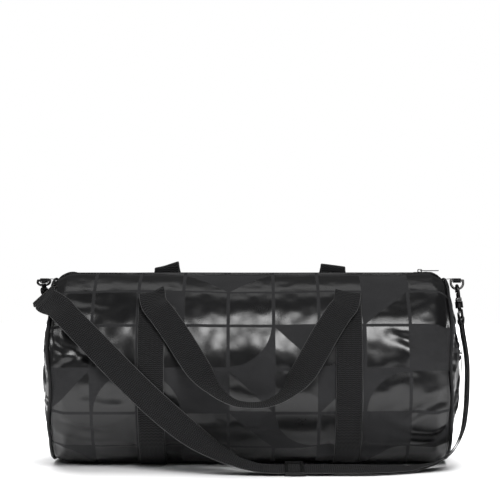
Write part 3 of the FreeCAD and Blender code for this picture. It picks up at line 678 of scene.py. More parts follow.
# ---- base panel: an oblong with rounded ends under the bag --------------------------------
def base_panel():
    half_length, end_length, half_width = 262, 26, 36.0
    x, across = grid(np.linspace(-half_length, half_length, 120), np.linspace(-1, 1, 25))
    into_end = np.clip(np.abs(x) - (half_length - end_length), 0, end_length)
    y = across * (half_width * np.sqrt(np.clip(1 - (into_end / 26.5) ** 2, 0, 1)))
    z = (0.25 + 0.12 * (0.5 + 0.5 * WAVES_FINE(x, y))
         + 0.35 * smooth(0.9, 1.0, np.abs(across)))
    obj = sheet("base_panel_cover", stack(x, y, z), -Z_AXIS, 0.5, stack(x, y) / TILE, [PIPING])
    ride(obj, "bag", "shell_fabric", "base_panel", "base_seam_bindings")


base_panel()


# ---- end panels --------------------------------------------------------------------------
# short sharp creases: y, z, angle in degrees, length, half width, depth
CREASES = {
    -1: [(-92, 160, 86, 90, 7, 4.5), (-72, 110, 74, 95, 8, 4.5), (-30, 70, 30, 80, 9, 4),
         (50, 100, -55, 90, 8, 4.5), (82, 180, 70, 70, 7, 4), (-20, 200, 62, 100, 9, 3.6),
         (-108, 120, 88, 60, 6, 4.0), (20, 150, -80, 80, 10, 3.0)],
    1: [(-84, 150, 78, 66, 6.5, 5.5), (-70, 104, 60, 60, 7, 4.5), (-40, 80, 25, 80, 8, 4.5),
        (66, 96, -50, 70, 8, 4.5), (80, 196, 60, 55, 7, 4.0), (20, 224, 8, 90, 9, 3.5),
        (-62, 214, -40, 60, 8, 4.0), (-104, 118, 84, 50, 6, 4.0), (14, 46, 0, 90, 9, 3.5)]}


def end_points(radius, angle, end):
    seed = int(end > 0)
    _, y, z = np.moveaxis(hoop(0.0, radius, angle), -1, 0)
    from_rim = SEAM_R - radius
    dome = SEAM_X + END_BULGE[end] * (1 - (radius / SEAM_R) ** 2) + 0.9
    # broad dents, puckers at the rim and fine crumple
    sink = (1.6 + 2.0 * waves(50 + seed, 14, 26, 110)(y, z)
            + 2.6 * np.exp(-from_rim / 24.0)
            * waves(70 + seed, 12, 11, 34)(angle * SEAM_R, radius * 0.15)
            + 0.4 * waves(90 + seed, 12, 9, 22)(y, z))
    for crease_y, crease_z, turn, length, half_width, depth in CREASES[end]:
        cos, sin = math.cos(math.radians(turn)), math.sin(math.radians(turn))
        along = ((y - crease_y) * cos + (z - crease_z) * sin) / (length / 2)
        across = (-(y - crease_y) * sin + (z - crease_z) * cos) / half_width
        across = across + 0.5 * np.sin(along * 2.4 + crease_y)
        sink = sink + depth * bell(along, power=4) * (
            bell(across) - 0.5 * bell(across, 1.8) - 0.3 * bell(across, -1.9))
    sink = np.clip(sink, -1.0, 8.5)
    if end > 0:
        # flat around the pocket zip
        sink = sink * (1 - bell(z, POCKET_Z, 15.0, 6) * (1 - smooth(80, 92, np.abs(y))))
    sink = sink * smooth(0.0, 9.0, from_rim)
    degrees = np.abs(np.degrees(np.arctan2(y, z - CENTRE_Z)))
    x = end * (dome - sink - seam_pull(end, degrees) * np.exp(-from_rim / 11.0))
    return stack(x, y, z)


def end_panel(name, end):
    radii = np.concatenate([np.linspace(2.0, 100, 40), np.linspace(102, SEAM_R - 0.4, 20)])
    outer = end_points(*grid(radii, np.linspace(0, 2 * math.pi, 241)[:-1]), end)
    rings, spokes = outer.shape[:2]
    count = rings * spokes
    outer = outer.reshape(-1, 3)
    centre = end_points(np.array([0.0]), np.array([0.0]), end)
    depth = np.array([end * CLOTH, 0, 0])
    verts = np.concatenate([outer, outer - depth, centre, centre - depth])
    faces = list(grid_faces(rings, spokes, 0, close_columns=True))
    faces += list(grid_faces(rings, spokes, count, close_columns=True, flip=True))
    face_materials = [0] * ((rings - 1) * spokes) + [1] * ((rings - 1) * spokes)
    for i in range(spokes):
        j = (i + 1) % spokes
        rim_i, rim_j = (rings - 1) * spokes + i, (rings - 1) * spokes + j
        # outer fan, inner fan, rim
        faces += [(2 * count, i, j), (2 * count + 1, count + j, count + i),
                  (rim_i, rim_i + count, rim_j + count, rim_j)]
        face_materials += [0, 1, 0]
    uvs = stack(verts[:, 1] / TILE + 3.3, verts[:, 2] / TILE + 0.4)
    obj = new_object(f"{name}_end_cover", verts, faces, [PRINT, LINING], uvs, face_materials)
    ride(obj, "bag", "shell_fabric", f"{name}_end_panel")


for name, end in ENDS:
    end_panel(name, end)


# ---- piping and inside seam bindings -----------------------------------------------------
PIPING_R = 2.05
PIPING_OFFSET = 1.7         # of the cord's centre beyond the seam, both along x and in radius
BINDING_SECTION = [(282.0, 128.2), (286.4, 128.2), (286.4, 127.0),      # x, radius
                   (285.2, 126.3), (283.2, 126.3), (282.0, 127.0)]
BINDING_SHIFT = 1.2         # towards the middle of the bag


def end_seam(name, end):
    angle = np.linspace(0, 2 * math.pi, 361)[:-1]
    arc = angle * SEAM_R
    pull = seam_pull(end, np.abs(np.degrees(np.arctan2(np.cos(angle), np.sin(angle)))))
    radius = SEAM_R + PIPING_OFFSET + 0.25 * waves(120 + end, 10, 20, 90)(arc, 0)
    x = end * (SEAM_X + PIPING_OFFSET - pull + 0.3 * waves(130 + end, 8, 30, 120)(arc, 0))
    turns = [2 * math.pi * i / 10 for i in range(10)]
    rings = np.stack([hoop(x + PIPING_R * math.sin(turn), radius + PIPING_R * math.cos(turn),
                           angle) for turn in turns], 1)
    cord = tube(f"{name}_piping_cord", rings, PIPING, closed=True)
    ride(cord, "bag", "piping", f"{name}_piping")

    rings = np.stack([hoop(end * (section_x - BINDING_SHIFT - pull), section_r, angle)
                      for section_x, section_r in BINDING_SECTION], 1)
    binding = tube(f"{name}_seam_tape", rings, TAPE, closed=True)
    ride(binding, "bag", "lining", f"{name}_seam_binding")


for name, end in ENDS:
    end_seam(name, end)


# ---- main zip: each half follows its own side of the mouth --------------------------------
ZIP_R = 140.0
TOOTH_PITCH = 2.6
TOOTH_DEG = 0.60


def zip_half(name, side):
    x, degrees = grid(np.linspace(-256, 256, 130), np.array([1.15, 1.6, 2.6, 4.0, 5.5, 6.8]))
    points = around(ZIP_R + 0.12 * WAVES_FINE(x, degrees * 3), degrees, x, side)
    tape = sheet(f"{name}_zip_tape_cloth", points, outward(degrees, side), 0.6,
                 stack(x, degrees), [TAPE])
    blend(tape, f"{name}_mouth", np.tile(mouth_weight(x, degrees).ravel(), 2), "tape",
          f"{name}_zip_tape")

    # the rear teeth sit half a pitch along, between the front ones
    x = np.arange(-250.4, 246.6, TOOTH_PITCH) + (0 if side < 0 else TOOTH_PITCH / 2)
    coil = beads(f"{name}_zip_coil", around(ZIP_R, TOOTH_DEG, x, side), side * Y_AXIS, Z_AXIS,
                 (1.55, 0.92, 1.05), COIL)
    blend(coil, f"{name}_mouth", np.repeat(mouth_weight(x, 1.0), 24), "zip_coil",
          f"{name}_zip_teeth")


def zip_stitching(name, side):
    x = np.arange(-262, 262, 3.3)
    up = outward(ZIP_STITCH_DEG, side)
    obj = stitches(f"{name}_zip_stitching", shell_points(x, ZIP_STITCH_DEG, side) + up * 0.12,
                   X_AXIS, up, half_length=1.25)
    blend(obj, f"{name}_mouth", np.repeat(mouth_weight(x, ZIP_STITCH_DEG), 24))


def zip_end_tab(name, end):
    """A cloth tab that caps one end of the zip."""
    start_x, end_x, half_degrees = 257.5, 286.5, 6.2
    x, degrees = grid(end * np.linspace(start_x, end_x, 16),
                      np.linspace(-half_degrees, half_degrees, 13))
    # the long edges and the edge towards the zip turn down
    radius = (tube_radius(x) + 0.55 + 0.25 * WAVES_FINE(x * 2, degrees * 4)
              - 1.2 * (np.abs(degrees) / half_degrees) ** 6
              - 0.8 * np.exp(-(np.abs(x) - start_x) / 1.2))
    radius = np.where(np.abs(x) > 280, radius - 0.4, radius)
    tab = sheet(f"{name}_zip_end_tab", around(radius, degrees, x, 1), outward(degrees, 1), 1.0,
                stack(x, degrees * 2.5) / TILE, [PIPING])
    ride(tab, "bag", "lining", "zip_end_patches")

    y = np.arange(-12, 12.1, 3.0)
    centres = stack(end * 262.5, y, CENTRE_Z + np.sqrt((TUBE_R + 0.65) ** 2 - y * y))
    ride(stitches(f"{name}_end_tab_stitching", centres, Y_AXIS, Z_AXIS, half_length=1.15), "bag")


def seam_stitching(name, end):
    degrees = np.arange(7.0, 157.0, 1.42)
    rows = []
    for side in (-1, 1):
        up = outward(degrees, side) + 0.35 * end * X_AXIS
        centres = shell_points(np.full_like(degrees, end * (SEAM_X - 5.2)), degrees, side)
        rows.append((centres + unit(up) * 0.15, downhill(degrees, side), up))
    ride(stitches(f"{name}_seam_stitching", *join_rows(rows), half_length=1.3), "bag")


for name, side in SIDES:
    zip_half(name, side)
for name, side in SIDES:
    zip_stitching(name, side)
for name, end in ENDS:
    zip_end_tab(name, end)
for name, end in ENDS:
    seam_stitching(name, end)


# ---- carry webbing -----------------------------------------------------------------------
# Each band runs up a left leg, rolls over a fold, hangs in a loop and comes back the same way.
LEG_R = 144.1
BASE_DEG = 160.5            # foot of the legs
SEWN_DEG = 113.5            # top of the sewn length
ROLL_R = 4.6                # radius of the fold
FOLD_DEG, FOLD_R = 42.0, 150.2          # front fold
LIFT_DEG = 60.0             # where the rear legs leave the wall
REAR_LEG = 82.0             # their free length
REAR_TOP_X = 128.0


def on_bag(x, z, radius, width_dir, side=-1):
    return x, side * math.sqrt(radius * radius - (z - CENTRE_Z) ** 2), z, width_dir


# keys from left to right: on_bag(x, z, radius, width direction) or (x, y, z, width direction)
FRONT_LOOP = [
    on_bag(-136, 236, 154.0, (0.95, 0.10, 0.28)), on_bag(-126, 224, 154.0, (0.84, 0.18, 0.50)),
    on_bag(-108, 200, 151.0, (0.82, 0.15, 0.57)), on_bag(-90, 173, 150.5, (0.82, 0.15, 0.50)),
    on_bag(-72, 146, 156.0, (0.78, 0.36, 0.48)), (-51, -162.0, 119, (0.36, 0.91, 0.26)),
    (-26, -168.0, 102, (0.10, 0.98, 0.16)), (0, -169.0, 97, (0.0, 0.99, 0.12)),
    (28, -168.0, 100, (-0.10, 0.98, 0.16)), (54, -162.0, 115, (-0.36, 0.91, 0.26)),
    on_bag(75, 142, 156.0, (-0.78, 0.36, 0.48)), on_bag(92, 170, 150.5, (-0.84, 0.15, 0.48)),
    on_bag(109, 199, 151.0, (-0.84, 0.15, 0.50)), on_bag(126, 224, 154.0, (-0.84, 0.18, 0.50)),
    on_bag(136, 236, 154.0, (-0.95, 0.10, 0.28))]
REAR_LOOP = [
    (-122, 103.0, 264, (0.90, -0.14, 0.40)), (-104, 116.0, 236, (0.82, -0.15, 0.57)),
    on_bag(-88, 209, 152.0, (0.82, -0.15, 0.50), 1),
    on_bag(-70, 182, 154.0, (0.72, -0.45, 0.45), 1),
    (-50, 159.0, 155, (0.45, -0.85, 0.40)), (-26, 166.0, 139, (0.15, -0.95, 0.32)),
    (0, 168.0, 134, (0.0, -0.95, 0.30)), (26, 166.0, 139, (-0.15, -0.95, 0.32)),
    (50, 159.0, 155, (-0.45, -0.85, 0.40)),
    on_bag(70, 182, 154.0, (-0.72, -0.45, 0.45), 1),
    on_bag(88, 209, 152.0, (-0.82, -0.15, 0.50), 1),
    (104, 116.0, 236, (-0.82, -0.15, 0.57)), (122, 103.0, 264, (-0.90, -0.14, 0.40))]


def front_leg():
    """The right leg, flat on the wall but for a small buckle above its sewn length."""
    degrees = np.linspace(BASE_DEG, FOLD_DEG + 3.0, 40)
    slack = (1.0 * bell(degrees, 107, 3.0) + 0.7 * bell(degrees, 97, 4.0)
             - 0.35 * bell(degrees, 102, 2.6))
    return around(LEG_R + np.maximum(slack, -0.3), degrees, LEG_X, -1)


def rear_leg():
    """The right leg, up the wall and then standing free, bowed out and leaning inwards."""
    wall = around(LEG_R, np.linspace(BASE_DEG, LIFT_DEG, 34), LEG_X, 1)
    u = np.linspace(0, 1, 16)[1:, None]
    free = (wall[-1] - downhill(LIFT_DEG, 1) * (REAR_LEG * u)
            + outward(LIFT_DEG, 1) * (1.6 * np.sin(u * math.pi))
            + X_AXIS * ((REAR_TOP_X - LEG_X) * u))
    return np.concatenate([wall, free])


def carry_webbing(name, side, leg, pivot, fold_degrees, loop, tilts):
    """pivot is the centre of the right fold; tilts lean the band on the left and the right."""
    uphill = -downhill(fold_degrees, side)
    inward = -outward(fold_degrees, side)
    turn = np.linspace(0, 180, 9)
    turn_rad = np.radians(turn)[:, None]
    fold = (pivot + inward * (ROLL_R * np.cos(turn_rad))
            + uphill * (ROLL_R * np.sin(turn_rad)))
    top_x, *top_yz = fold[-1]
    loop_path, loop_widths = catmull([(-top_x, *top_yz, (1, 0, 0))] + loop
                                     + [(top_x, *top_yz, (-1, 0, 0))])
    right = np.concatenate([leg, fold[:-1]])
    path = np.concatenate([right * (-1, 1, 1), loop_path, right[::-1]])

    # the band tilts progressively from the top of the leg through the fold
    lean = np.concatenate([np.zeros(len(leg) - 8), np.linspace(0, 0.10, 8),
                           np.maximum(smooth(0, 90, turn), 0.10)[:-1]])[:, None]
    left_tilt, right_tilt = tilts
    fade = np.linspace(1, 0, 10)[:, None]
    left_top, right_top = unit(X_AXIS + uphill * left_tilt), unit(-X_AXIS + uphill * right_tilt)
    loop_widths[:10] = unit(loop_widths[:10] * (1 - fade) + left_top * fade)
    loop_widths[-10:] = unit(loop_widths[-10:] * (1 - fade[::-1]) + right_top * fade[::-1])
    width_dirs = np.concatenate([unit(X_AXIS + uphill * (left_tilt * lean)), loop_widths,
                                 unit(-X_AXIS + uphill * (right_tilt * lean)[::-1])])

    # weight 0 on the legs, rising to 1 past the fold
    rise = np.concatenate([np.zeros(len(leg)), smooth(-20, 185, turn[:-1])])
    weights = np.concatenate([rise, np.ones(len(loop_path)), rise[::-1]])
    lengths = np.linalg.norm(np.diff(path, axis=0), axis=1)
    distance = np.concatenate([[0], np.cumsum(lengths)])
    band, places = ribbon(f"{name}_carry_webbing", path, width_dirs, WEBBING, step=1.7)
    blend(band, f"{name}_carry", np.interp(places, distance, weights), "webbing",
          f"{name}_handle", f"{name}_left_webbing", f"{name}_right_webbing")


def carry_stitching(name, side):
    """Stitches down both edges of each sewn length and in two rows across its top."""
    radius = LEG_R + 0.86
    rows = []
    for leg_x in (-LEG_X, LEG_X):
        for offset in (-16.4, 16.4):
            degrees = np.arange(SEWN_DEG + 0.5, BASE_DEG - 0.6, 1.25)
            rows.append((around(radius, degrees, leg_x + offset, side),
                         downhill(degrees, side), outward(degrees, side)))
        for row_degrees in (SEWN_DEG, SEWN_DEG + 2.0):
            across = np.arange(-16.0, 16.1, 3.0)
            count = len(across)
            rows.append((around(radius, row_degrees, leg_x + across, side),
                         np.tile(X_AXIS, (count, 1)),
                         np.tile(outward(row_degrees, side), (count, 1))))
    ride(stitches(f"{name}_carry_webbing_stitching", *join_rows(rows), half_length=1.2,
                  half_width=0.36), "bag")


carry_webbing("front", -1, front_leg(), around(FOLD_R, FOLD_DEG, LEG_X, -1), FOLD_DEG,
              FRONT_LOOP, tilts=(0.62, 0.28))
carry_stitching("front", -1)
REAR_PIVOT = (around(144.05, LIFT_DEG, REAR_TOP_X, 1) - downhill(LIFT_DEG, 1) * (REAR_LEG + 2.0)
              + outward(LIFT_DEG, 1) * (ROLL_R + 1.9))
carry_webbing("rear", 1, rear_leg(), REAR_PIVOT, LIFT_DEG, REAR_LOOP, tilts=(0.40, 0.16))
carry_stitching("rear", 1)


# ---- shoulder strap ----------------------------------------------------------------------
HOOK_OFFSET = 13.0          # from the ring's tab to the hook hanging in it
EYE_REACH = 44.91           # from there to the strap's eye
EYE_CURL_R = 2.9            # the webbing's turn through the eye
ADJUSTER = np.array([62.0, -160.0, 7.7])
ADJUSTER_TILT = math.radians(12)
ADJUSTER_WIDTH = np.array([0, math.cos(ADJUSTER_TILT), math.sin(ADJUSTER_TILT)])
ADJUSTER_NORMAL = np.array([0, -math.sin(ADJUSTER_TILT), math.cos(ADJUSTER_TILT)])
STRAP = dict(thickness=1.35, step=1.6, relax_times=1, curl=0.12)
RETURN_STRAP = dict(thickness=1.25, step=3.0, relax_times=1, curl=0.12)


def strap_eye(end, offset_dir, hook_dir, width_dir):
    """Origin, width direction, direction along the strap and normal of the eye at one end."""
    hook = np.array([RING_X[end], RING_Y, RING_Z]) + HOOK_OFFSET * unit(offset_dir)
    hook_dir, width = unit(hook_dir), np.array(width_dir, float)
    width = unit(width - hook_dir * (width @ hook_dir))
    return hook - EYE_REACH * hook_dir, width, -hook_dir, np.cross(-hook_dir, width)


def from_eye(eye, distance, height):
    origin, _, along, normal = eye
    return origin + along * distance + normal * height


LEFT_EYE = strap_eye(-1, (0, -0.85, -0.53), (-0.19, 0.93, 0.33), (0.72, 0, 0.69))
RIGHT_EYE = strap_eye(1, (0, -0.30, -0.954), (-0.10, 0.16, 0.98), (0, 1, 0))
LEFT_WIDTH, RIGHT_WIDTH = LEFT_EYE[1], RIGHT_EYE[1]
# the webbing's way round an eye: distance along the strap, height
EYE_CURL = ([(6.0, -1.9), (3.2, -2.6)]
            + [(EYE_CURL_R * math.cos(math.radians(turn)), EYE_CURL_R * math.sin(math.radians(turn)))
               for turn in range(-90, -271, -20)]
            + [(3.2, 2.6), (6.0, 1.9)])

# the strap from the left eye to the right: x, y, z, width direction
STRAP_KEYS = [
    (*from_eye(LEFT_EYE, 9, 0.8), LEFT_WIDTH), (*from_eye(LEFT_EYE, 20, 0.8), LEFT_WIDTH),
    (-273, -114, 232.5, (0.68, 0.34, 0.65)), (-258, -126.5, 219, (0.66, 0.42, 0.64)),
    (-232, -138.5, 194, (0.62, 0.36, 0.70)), (-200, -147.5, 162, (0.64, 0.20, 0.74)),
    (-166, -150.5, 128, (0.66, 0.06, 0.75)), (-130, -151.5, 94, (0.64, 0.14, 0.75)),
    (-88, -153.5, 59, (0.52, 0.46, 0.70)), (-50, -156.0, 33.5, (0.30, 0.80, 0.50)),
    (-18, -158.5, 17.5, (0.12, 0.95, 0.26)), (8, -159.6, 10.0, (0.03, 0.975, 0.21)),
    # straight through the adjuster
    *[(x, *ADJUSTER[1:], ADJUSTER_WIDTH) for x in (30, 47, 64, 95, 150)],
    (173, -156.5, ADJUSTER[2] - 0.4, (0.10, 0.975, 0.16)), (201, -145.5, 6.6, (0.26, 0.95, 0.09)),
    (232, -129.0, 6.6, (0.30, 0.95, 0.04)), (264, -115.5, 12.4, (0.24, 0.95, -0.04)),
    (288.5, -101.5, 27.0, (0.10, 0.96, -0.16)), (303.5, -85.0, 49, (0.0, 0.95, -0.28)),
    (311.5, -66.0, 77, (0.0, 0.95, -0.24)), (315.6, -51.0, 112, (0.0, 0.98, -0.12)),
    (316.2, -43.5, 152, (0.0, 0.99, -0.02)),
    (*from_eye(RIGHT_EYE, 20, -0.9), RIGHT_WIDTH), (*from_eye(RIGHT_EYE, 9, -0.9), RIGHT_WIDTH)]


def shoulder_strap():
    path, widths = catmull(STRAP_KEYS)
    left = np.array([from_eye(LEFT_EYE, *place) for place in [(18, -0.8), (11, -0.8)] + EYE_CURL])
    right = np.array([from_eye(RIGHT_EYE, *place) for place in EYE_CURL + [(9, 1.5)]])
    strap, _ = ribbon("shoulder_strap_webbing", np.concatenate([left, path, right]),
                      np.concatenate([np.tile(LEFT_WIDTH, (len(left), 1)), widths,
                                      np.tile(RIGHT_WIDTH, (len(right), 1))]), WEBBING, **STRAP)
    ride(strap, "strap", "webbing", "shoulder_strap")

    # the second layer, against the strap from right of the adjuster to the right eye
    _, normals = path_frames(path, widths)
    first = int(np.argmax(path[:, 0] > 110))
    second, _ = ribbon("strap_return_webbing", path[first:] + normals[first:] * -2.4,
                       widths[first:], WEBBING, **RETURN_STRAP)
    ride(second, "strap", "webbing", "strap_return")


def strap_fold_stitching():
    """Two rows that close the fold at the left eye."""
    centres = [from_eye(LEFT_EYE, distance, 1.62) + LEFT_WIDTH * across
               for distance in (12.5, 16.0) for across in np.arange(-16.5, 16.6, 3.0)]
    ride(stitches("strap_fold_stitching", centres, LEFT_WIDTH, LEFT_EYE[3], half_length=1.2,
                  half_width=0.36), "strap")


def adjuster_tail():
    path = np.array([ADJUSTER + X_AXIS * x + ADJUSTER_NORMAL * -1.2 for x in (2.6, 14, 26, 39.6)])
    tail, _ = ribbon("adjuster_tail_webbing", path, np.tile(ADJUSTER_WIDTH, (4, 1)), WEBBING,
                     half=18.6, thickness=0.8, step=3.0, curl=0.0)
    ride(tail, "adjuster", "webbing", "adjuster_tail")


shoulder_strap()
strap_fold_stitching()
adjuster_tail()


# ---- strap anchors: narrow webbing folded round each ring and sewn into the end seam ------
TAB_R = 2.85


def ring_tab(name, end):
    ring_x = RING_X[end]
    # offsets from the ring's centre in y and z: lower layer, turn round the ring, upper layer
    offsets = ([(15.0, 0.55), (8.0, 0.5), (4.0, -0.6)]
               + [(TAB_R * math.cos(turn), TAB_R * math.sin(turn))
                  for turn in np.radians(np.linspace(-35, -330, 22))]
               + [(5.0, 1.95), (9.0, 2.0), (15.0, 2.0)])
    path = np.array([(ring_x, RING_Y + y, RING_Z + z) for y, z in offsets])
    tab, _ = ribbon(f"{name}_ring_webbing", path, np.tile(X_AXIS, (len(path), 1)),
                    NARROW_WEBBING, half=NARROW_WIDTH / 2, thickness=1.15, step=0.8,
                    relax_times=1, curl=0.0)
    ride(tab, "bag", "webbing", f"{name}_ring_tab")


def ring_gusset(name, end):
    """The strip that carries the tab into the seam."""
    start_x, end_x = end * (SEAM_X - 1.5), RING_X[end] + end * 5.5
    start_y = RING_Y + 4.6
    x, y = grid(np.linspace(start_x, end_x, 14), np.linspace(start_y, RING_Y + 15.5, 8))
    u = (x - start_x) / (end_x - start_x)
    z = RING_Z + 2.8 + 0.10 * WAVES_FINE(x * 3, y * 3) - 0.5 * (1 - u) ** 3
    gusset = sheet(f"{name}_ring_gusset", stack(x, y, z), Z_AXIS, 0.9,
                   stack(y - start_y, np.abs(x)), [NARROW_WEBBING])
    ride(gusset, "bag", "webbing")


def ring_tab_stitching(name, end):
    ring_x = RING_X[end]
    centres = [(x, y, RING_Z + 2.95) for x in np.arange(ring_x - 4.5, ring_x + 4.6, 2.2)
               for y in (RING_Y + 6.5, RING_Y + 13.5)]
    ride(stitches(f"{name}_ring_tab_stitching", centres, X_AXIS, Z_AXIS, half_length=0.85,
                  half_width=0.3, half_height=0.28), "bag")


for name, end in ENDS:
    ring_tab(name, end)
    ring_gusset(name, end)
    ring_tab_stitching(name, end)


# ---- end pocket: a zip let into the right end panel ---------------------------------------
# The bulging end is taken as a sphere; angles turn about its vertical axis, from +X to +Y.
SPHERE_R = (SEAM_R ** 2 + END_BULGE[1] ** 2) / (2 * END_BULGE[1])
SPHERE_X = SEAM_X + END_BULGE[1] - SPHERE_R
POCKET_R = math.sqrt(SPHERE_R * SPHERE_R - (POCKET_Z - CENTRE_Z) ** 2)
HALF_ANGLE = math.asin(73.0 / POCKET_R)         # the zip reaches 73 mm to each side
ARC_R = 400                 # round radius used for pitches and textures
POCKET_TOOTH_PITCH = 1.25


def pocket_point(angle, z, lift):
    radius = np.sqrt(SPHERE_R * SPHERE_R - (z - CENTRE_Z) ** 2) + 1.25 + lift
    return stack(SPHERE_X + radius * np.cos(angle), radius * np.sin(angle), z)


def pocket_tape(name, low_z, high_z):
    angle, z = grid(np.linspace(-HALF_ANGLE - 0.004, HALF_ANGLE + 0.004, 70),
                    np.linspace(low_z, high_z, 9))
    arc = angle * ARC_R
    points = pocket_point(angle, z, -0.05)
    points = points + stack(0.12 * WAVES_FINE(arc, z * 2), 0.0, 0.25 * WAVES_MID(arc, z))
    normals = unit(stack(np.cos(angle), np.sin(angle), (z - CENTRE_Z) / SPHERE_R))
    tape = sheet(f"pocket_zip_tape_{name}", points, normals, 0.55, stack(arc, z) / TILE, [TAPE])
    ride(tape, "bag", "tape", "pocket_zip_tapes")


def pocket_welt(name, direction):
    """The folded cloth edge above (+1) or below (-1) the zip, and its stitching."""
    welt_z = POCKET_Z + direction * 9.0
    angle = np.linspace(-HALF_ANGLE - 0.014, HALF_ANGLE + 0.014, 90)
    wobble = 0.35 * WAVES_FINE(angle * ARC_R, welt_z)
    turns = [2 * math.pi * i / 12 for i in range(12)]
    rings = np.stack([pocket_point(angle, welt_z + 2.9 * math.sin(turn) + wobble * 0.6,
                                   0.95 * math.cos(turn) + 0.15 + 0.2 * wobble)
                      for turn in turns], 1)
    welt = tube(f"pocket_welt_{name}", rings, PIPING, rings[..., 1:].reshape(-1, 2) / TILE)
    ride(welt, "bag", "shell_fabric")

    angle = np.arange(-HALF_ANGLE - 0.01, HALF_ANGLE + 0.01, 3.2 / ARC_R)
    centres = pocket_point(angle, welt_z + direction * 3.9, 0.15)
    ride(stitches(f"pocket_stitching_{name}", centres,
                  stack(-np.sin(angle), np.cos(angle), 0.0),
                  stack(np.cos(angle), np.sin(angle), 0.0), half_length=1.2), "bag")


def pocket_coil():
    angle = np.arange(-HALF_ANGLE, HALF_ANGLE, POCKET_TOOTH_PITCH / ARC_R)
    stagger = np.where(np.arange(len(angle)) % 2 == 0, 0.55, -0.55)
    radius = POCKET_R - 0.6
    centres = stack(SPHERE_X + radius * np.cos(angle), radius * np.sin(angle),
                    POCKET_Z + stagger)
    coil = beads("pocket_zip_coil", centres, Z_AXIS, stack(np.cos(angle), np.sin(angle), 0.0),
                 (0.95, 0.50, 0.72), COIL)
    ride(coil, "bag", "zip_coil", "pocket_zip_teeth")


def pocket_lining():
    """The padded pocket bag inside the end panel."""
    half_width, half_height, centre_z = 75, 46, 112
    y, z = grid(np.linspace(-half_width, half_width, 50),
                np.linspace(centre_z - half_height, centre_z + half_height, 32))
    pad = (np.clip(1 - (np.abs(y) / half_width) ** 4, 0, 1)
           * np.clip(1 - (np.abs(z - centre_z) / half_height) ** 4, 0, 1))
    points = stack(276.0 - 1.4 * pad - 0.7 * WAVES_MID(y, z), y, z)
    lining = sheet("pocket_lining", points, -X_AXIS, 1.0 + 1.2 * pad, stack(y, z) / TILE,
                   [LINING])
    ride(lining, "bag", "lining", "pocket_pouch")


pocket_tape("upper", POCKET_Z + 1.9, POCKET_Z + 8.2)
pocket_tape("lower", POCKET_Z - 8.2, POCKET_Z - 1.9)
pocket_welt("upper", 1)
pocket_welt("lower", -1)
pocket_coil()
pocket_lining()


# ---- finishes on the hardware that stays as modelled --------------------------------------
def finish_hardware(name, part):
    if "spring" in name:
        material = SPRING
    elif "main_zip" in name or "adjuster" in name:
        material = BLACKENED
    else:
        material = GUNMETAL
    part.data.materials.clear()
    part.data.materials.append(material)
    for face in part.data.polygons:
        face.use_smooth = True
        face.material_index = 0
    bevel = part.modifiers.new("soft_edges", "BEVEL")
    bevel.width = 0.00018
    bevel.segments = 2
    bevel.limit_method = "ANGLE"
    bevel.angle_limit = math.radians(40)
    bevel.harden_normals = True


for name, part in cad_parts.items():
    if not part.hide_render:
        finish_hardware(name, part)


# ---- studio, in metres -------------------------------------------------------------------
def studio_floor():
    mat = Material("studio_floor")
    mottle = mat.noise(mat.object_coords(), scale=3.0, detail=2.0)
    mat.set("Base Color", mat.colour(mottle, (0.86, 0.86, 0.865), (0.88, 0.88, 0.885)))
    mat.set("Roughness", 0.9)
    mat.set("Specular IOR Level", 0.15)
    mesh = bpy.data.meshes.new("studio_floor")
    # just below z = 0, so that it never meets the base
    verts = [(x, y, -0.0003) for y in (-0.64, 1.0, 4.6) for x in (-5.0, 5.0)]
    mesh.from_pydata(verts, [], [(0, 1, 3, 2), (2, 3, 5, 4)])
    mesh.materials.append(mat.data)
    mesh.polygons.foreach_set("use_smooth", [True] * len(mesh.polygons))
    obj = bpy.data.objects.new("studio_floor", mesh)
    bpy.context.scene.collection.objects.link(obj)
    return obj


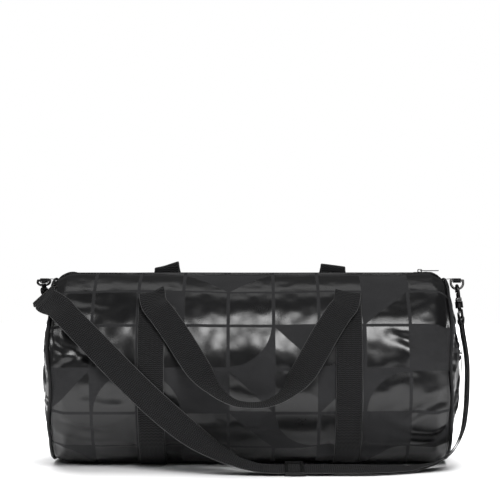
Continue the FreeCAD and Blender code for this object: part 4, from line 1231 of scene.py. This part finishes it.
def studio_world():
    """White to the camera, but only a dim fill for the light it casts."""
    world = bpy.data.worlds.new("studio_world")
    bpy.context.scene.world = world
    world.use_nodes = True
    tree = world.node_tree
    background = tree.nodes["Background"]
    background.inputs["Color"].default_value = (1, 1, 1, 1)
    light_path = tree.nodes.new("ShaderNodeLightPath")
    strength = tree.nodes.new("ShaderNodeMapRange")
    strength.inputs["To Min"].default_value = 0.07
    strength.inputs["To Max"].default_value = 1.0
    tree.links.new(light_path.outputs["Is Camera Ray"], strength.inputs["Value"])
    tree.links.new(strength.outputs[0], background.inputs["Strength"])


def softbox(name, place, target, size, power):
    light = bpy.data.lights.new(name, "AREA")
    light.shape = "RECTANGLE"
    light.size, light.size_y = size
    light.energy = power
    light.spread = math.pi
    obj = bpy.data.objects.new(name, light)
    obj.location = place
    aim = Vector(target) - Vector(place)
    obj.rotation_euler = aim.to_track_quat("-Z", "Y").to_euler()
    bpy.context.scene.collection.objects.link(obj)
    return obj


def studio_lights(floor):
    softbox("key_softbox", place=(0.56, -1.66, 1.77), target=(0.14, -0.12, 0.19),
            size=(0.66, 1.20), power=35)
    softbox("second_softbox", place=(0.02, -1.66, 1.77), target=(-0.02, -0.12, 0.19),
            size=(0.34, 1.20), power=9)
    softbox("side_softbox", place=(-2.0, -1.0, 1.3), target=(-0.1, 0, 0.15),
            size=(0.4, 0.8), power=8)
    softbox("rim_softbox", place=(0.0, 0.9, 2.2), target=(0, 0, 0.25), size=(2.4, 0.5), power=5)
    # the washes light the floor alone: they whiten it without greying the dark cloth
    floor_only = bpy.data.collections.new("floor_only")
    floor_only.objects.link(floor)
    top = softbox("top_wash", place=(0.0, 0.2, 2.4), target=(0, 0.2, 0.0),
                  size=(3.0, 1.8), power=66)
    back = softbox("back_wash", place=(0.0, 3.6, 2.4), target=(0, 3.7, 0.0),
                   size=(6.0, 4.0), power=420)
    for wash in (top, back):
        wash.light_linking.receiver_collection = floor_only


def studio_camera():
    """A long lens looking level along +Y at the front of the bag."""
    camera = bpy.data.cameras.new("camera")
    camera.lens = 120.8
    camera.sensor_width = 36.0
    camera.clip_start = 0.05
    camera.clip_end = 50
    obj = bpy.data.objects.new("camera", camera)
    obj.location = (0.0, -2.5, 0.313)
    obj.rotation_euler = (math.radians(90), 0, 0)
    bpy.context.scene.collection.objects.link(obj)
    bpy.context.scene.camera = obj
    bpy.context.scene.view_settings.view_transform = "Standard"


floor = studio_floor()
studio_world()
studio_lights(floor)
studio_camera()
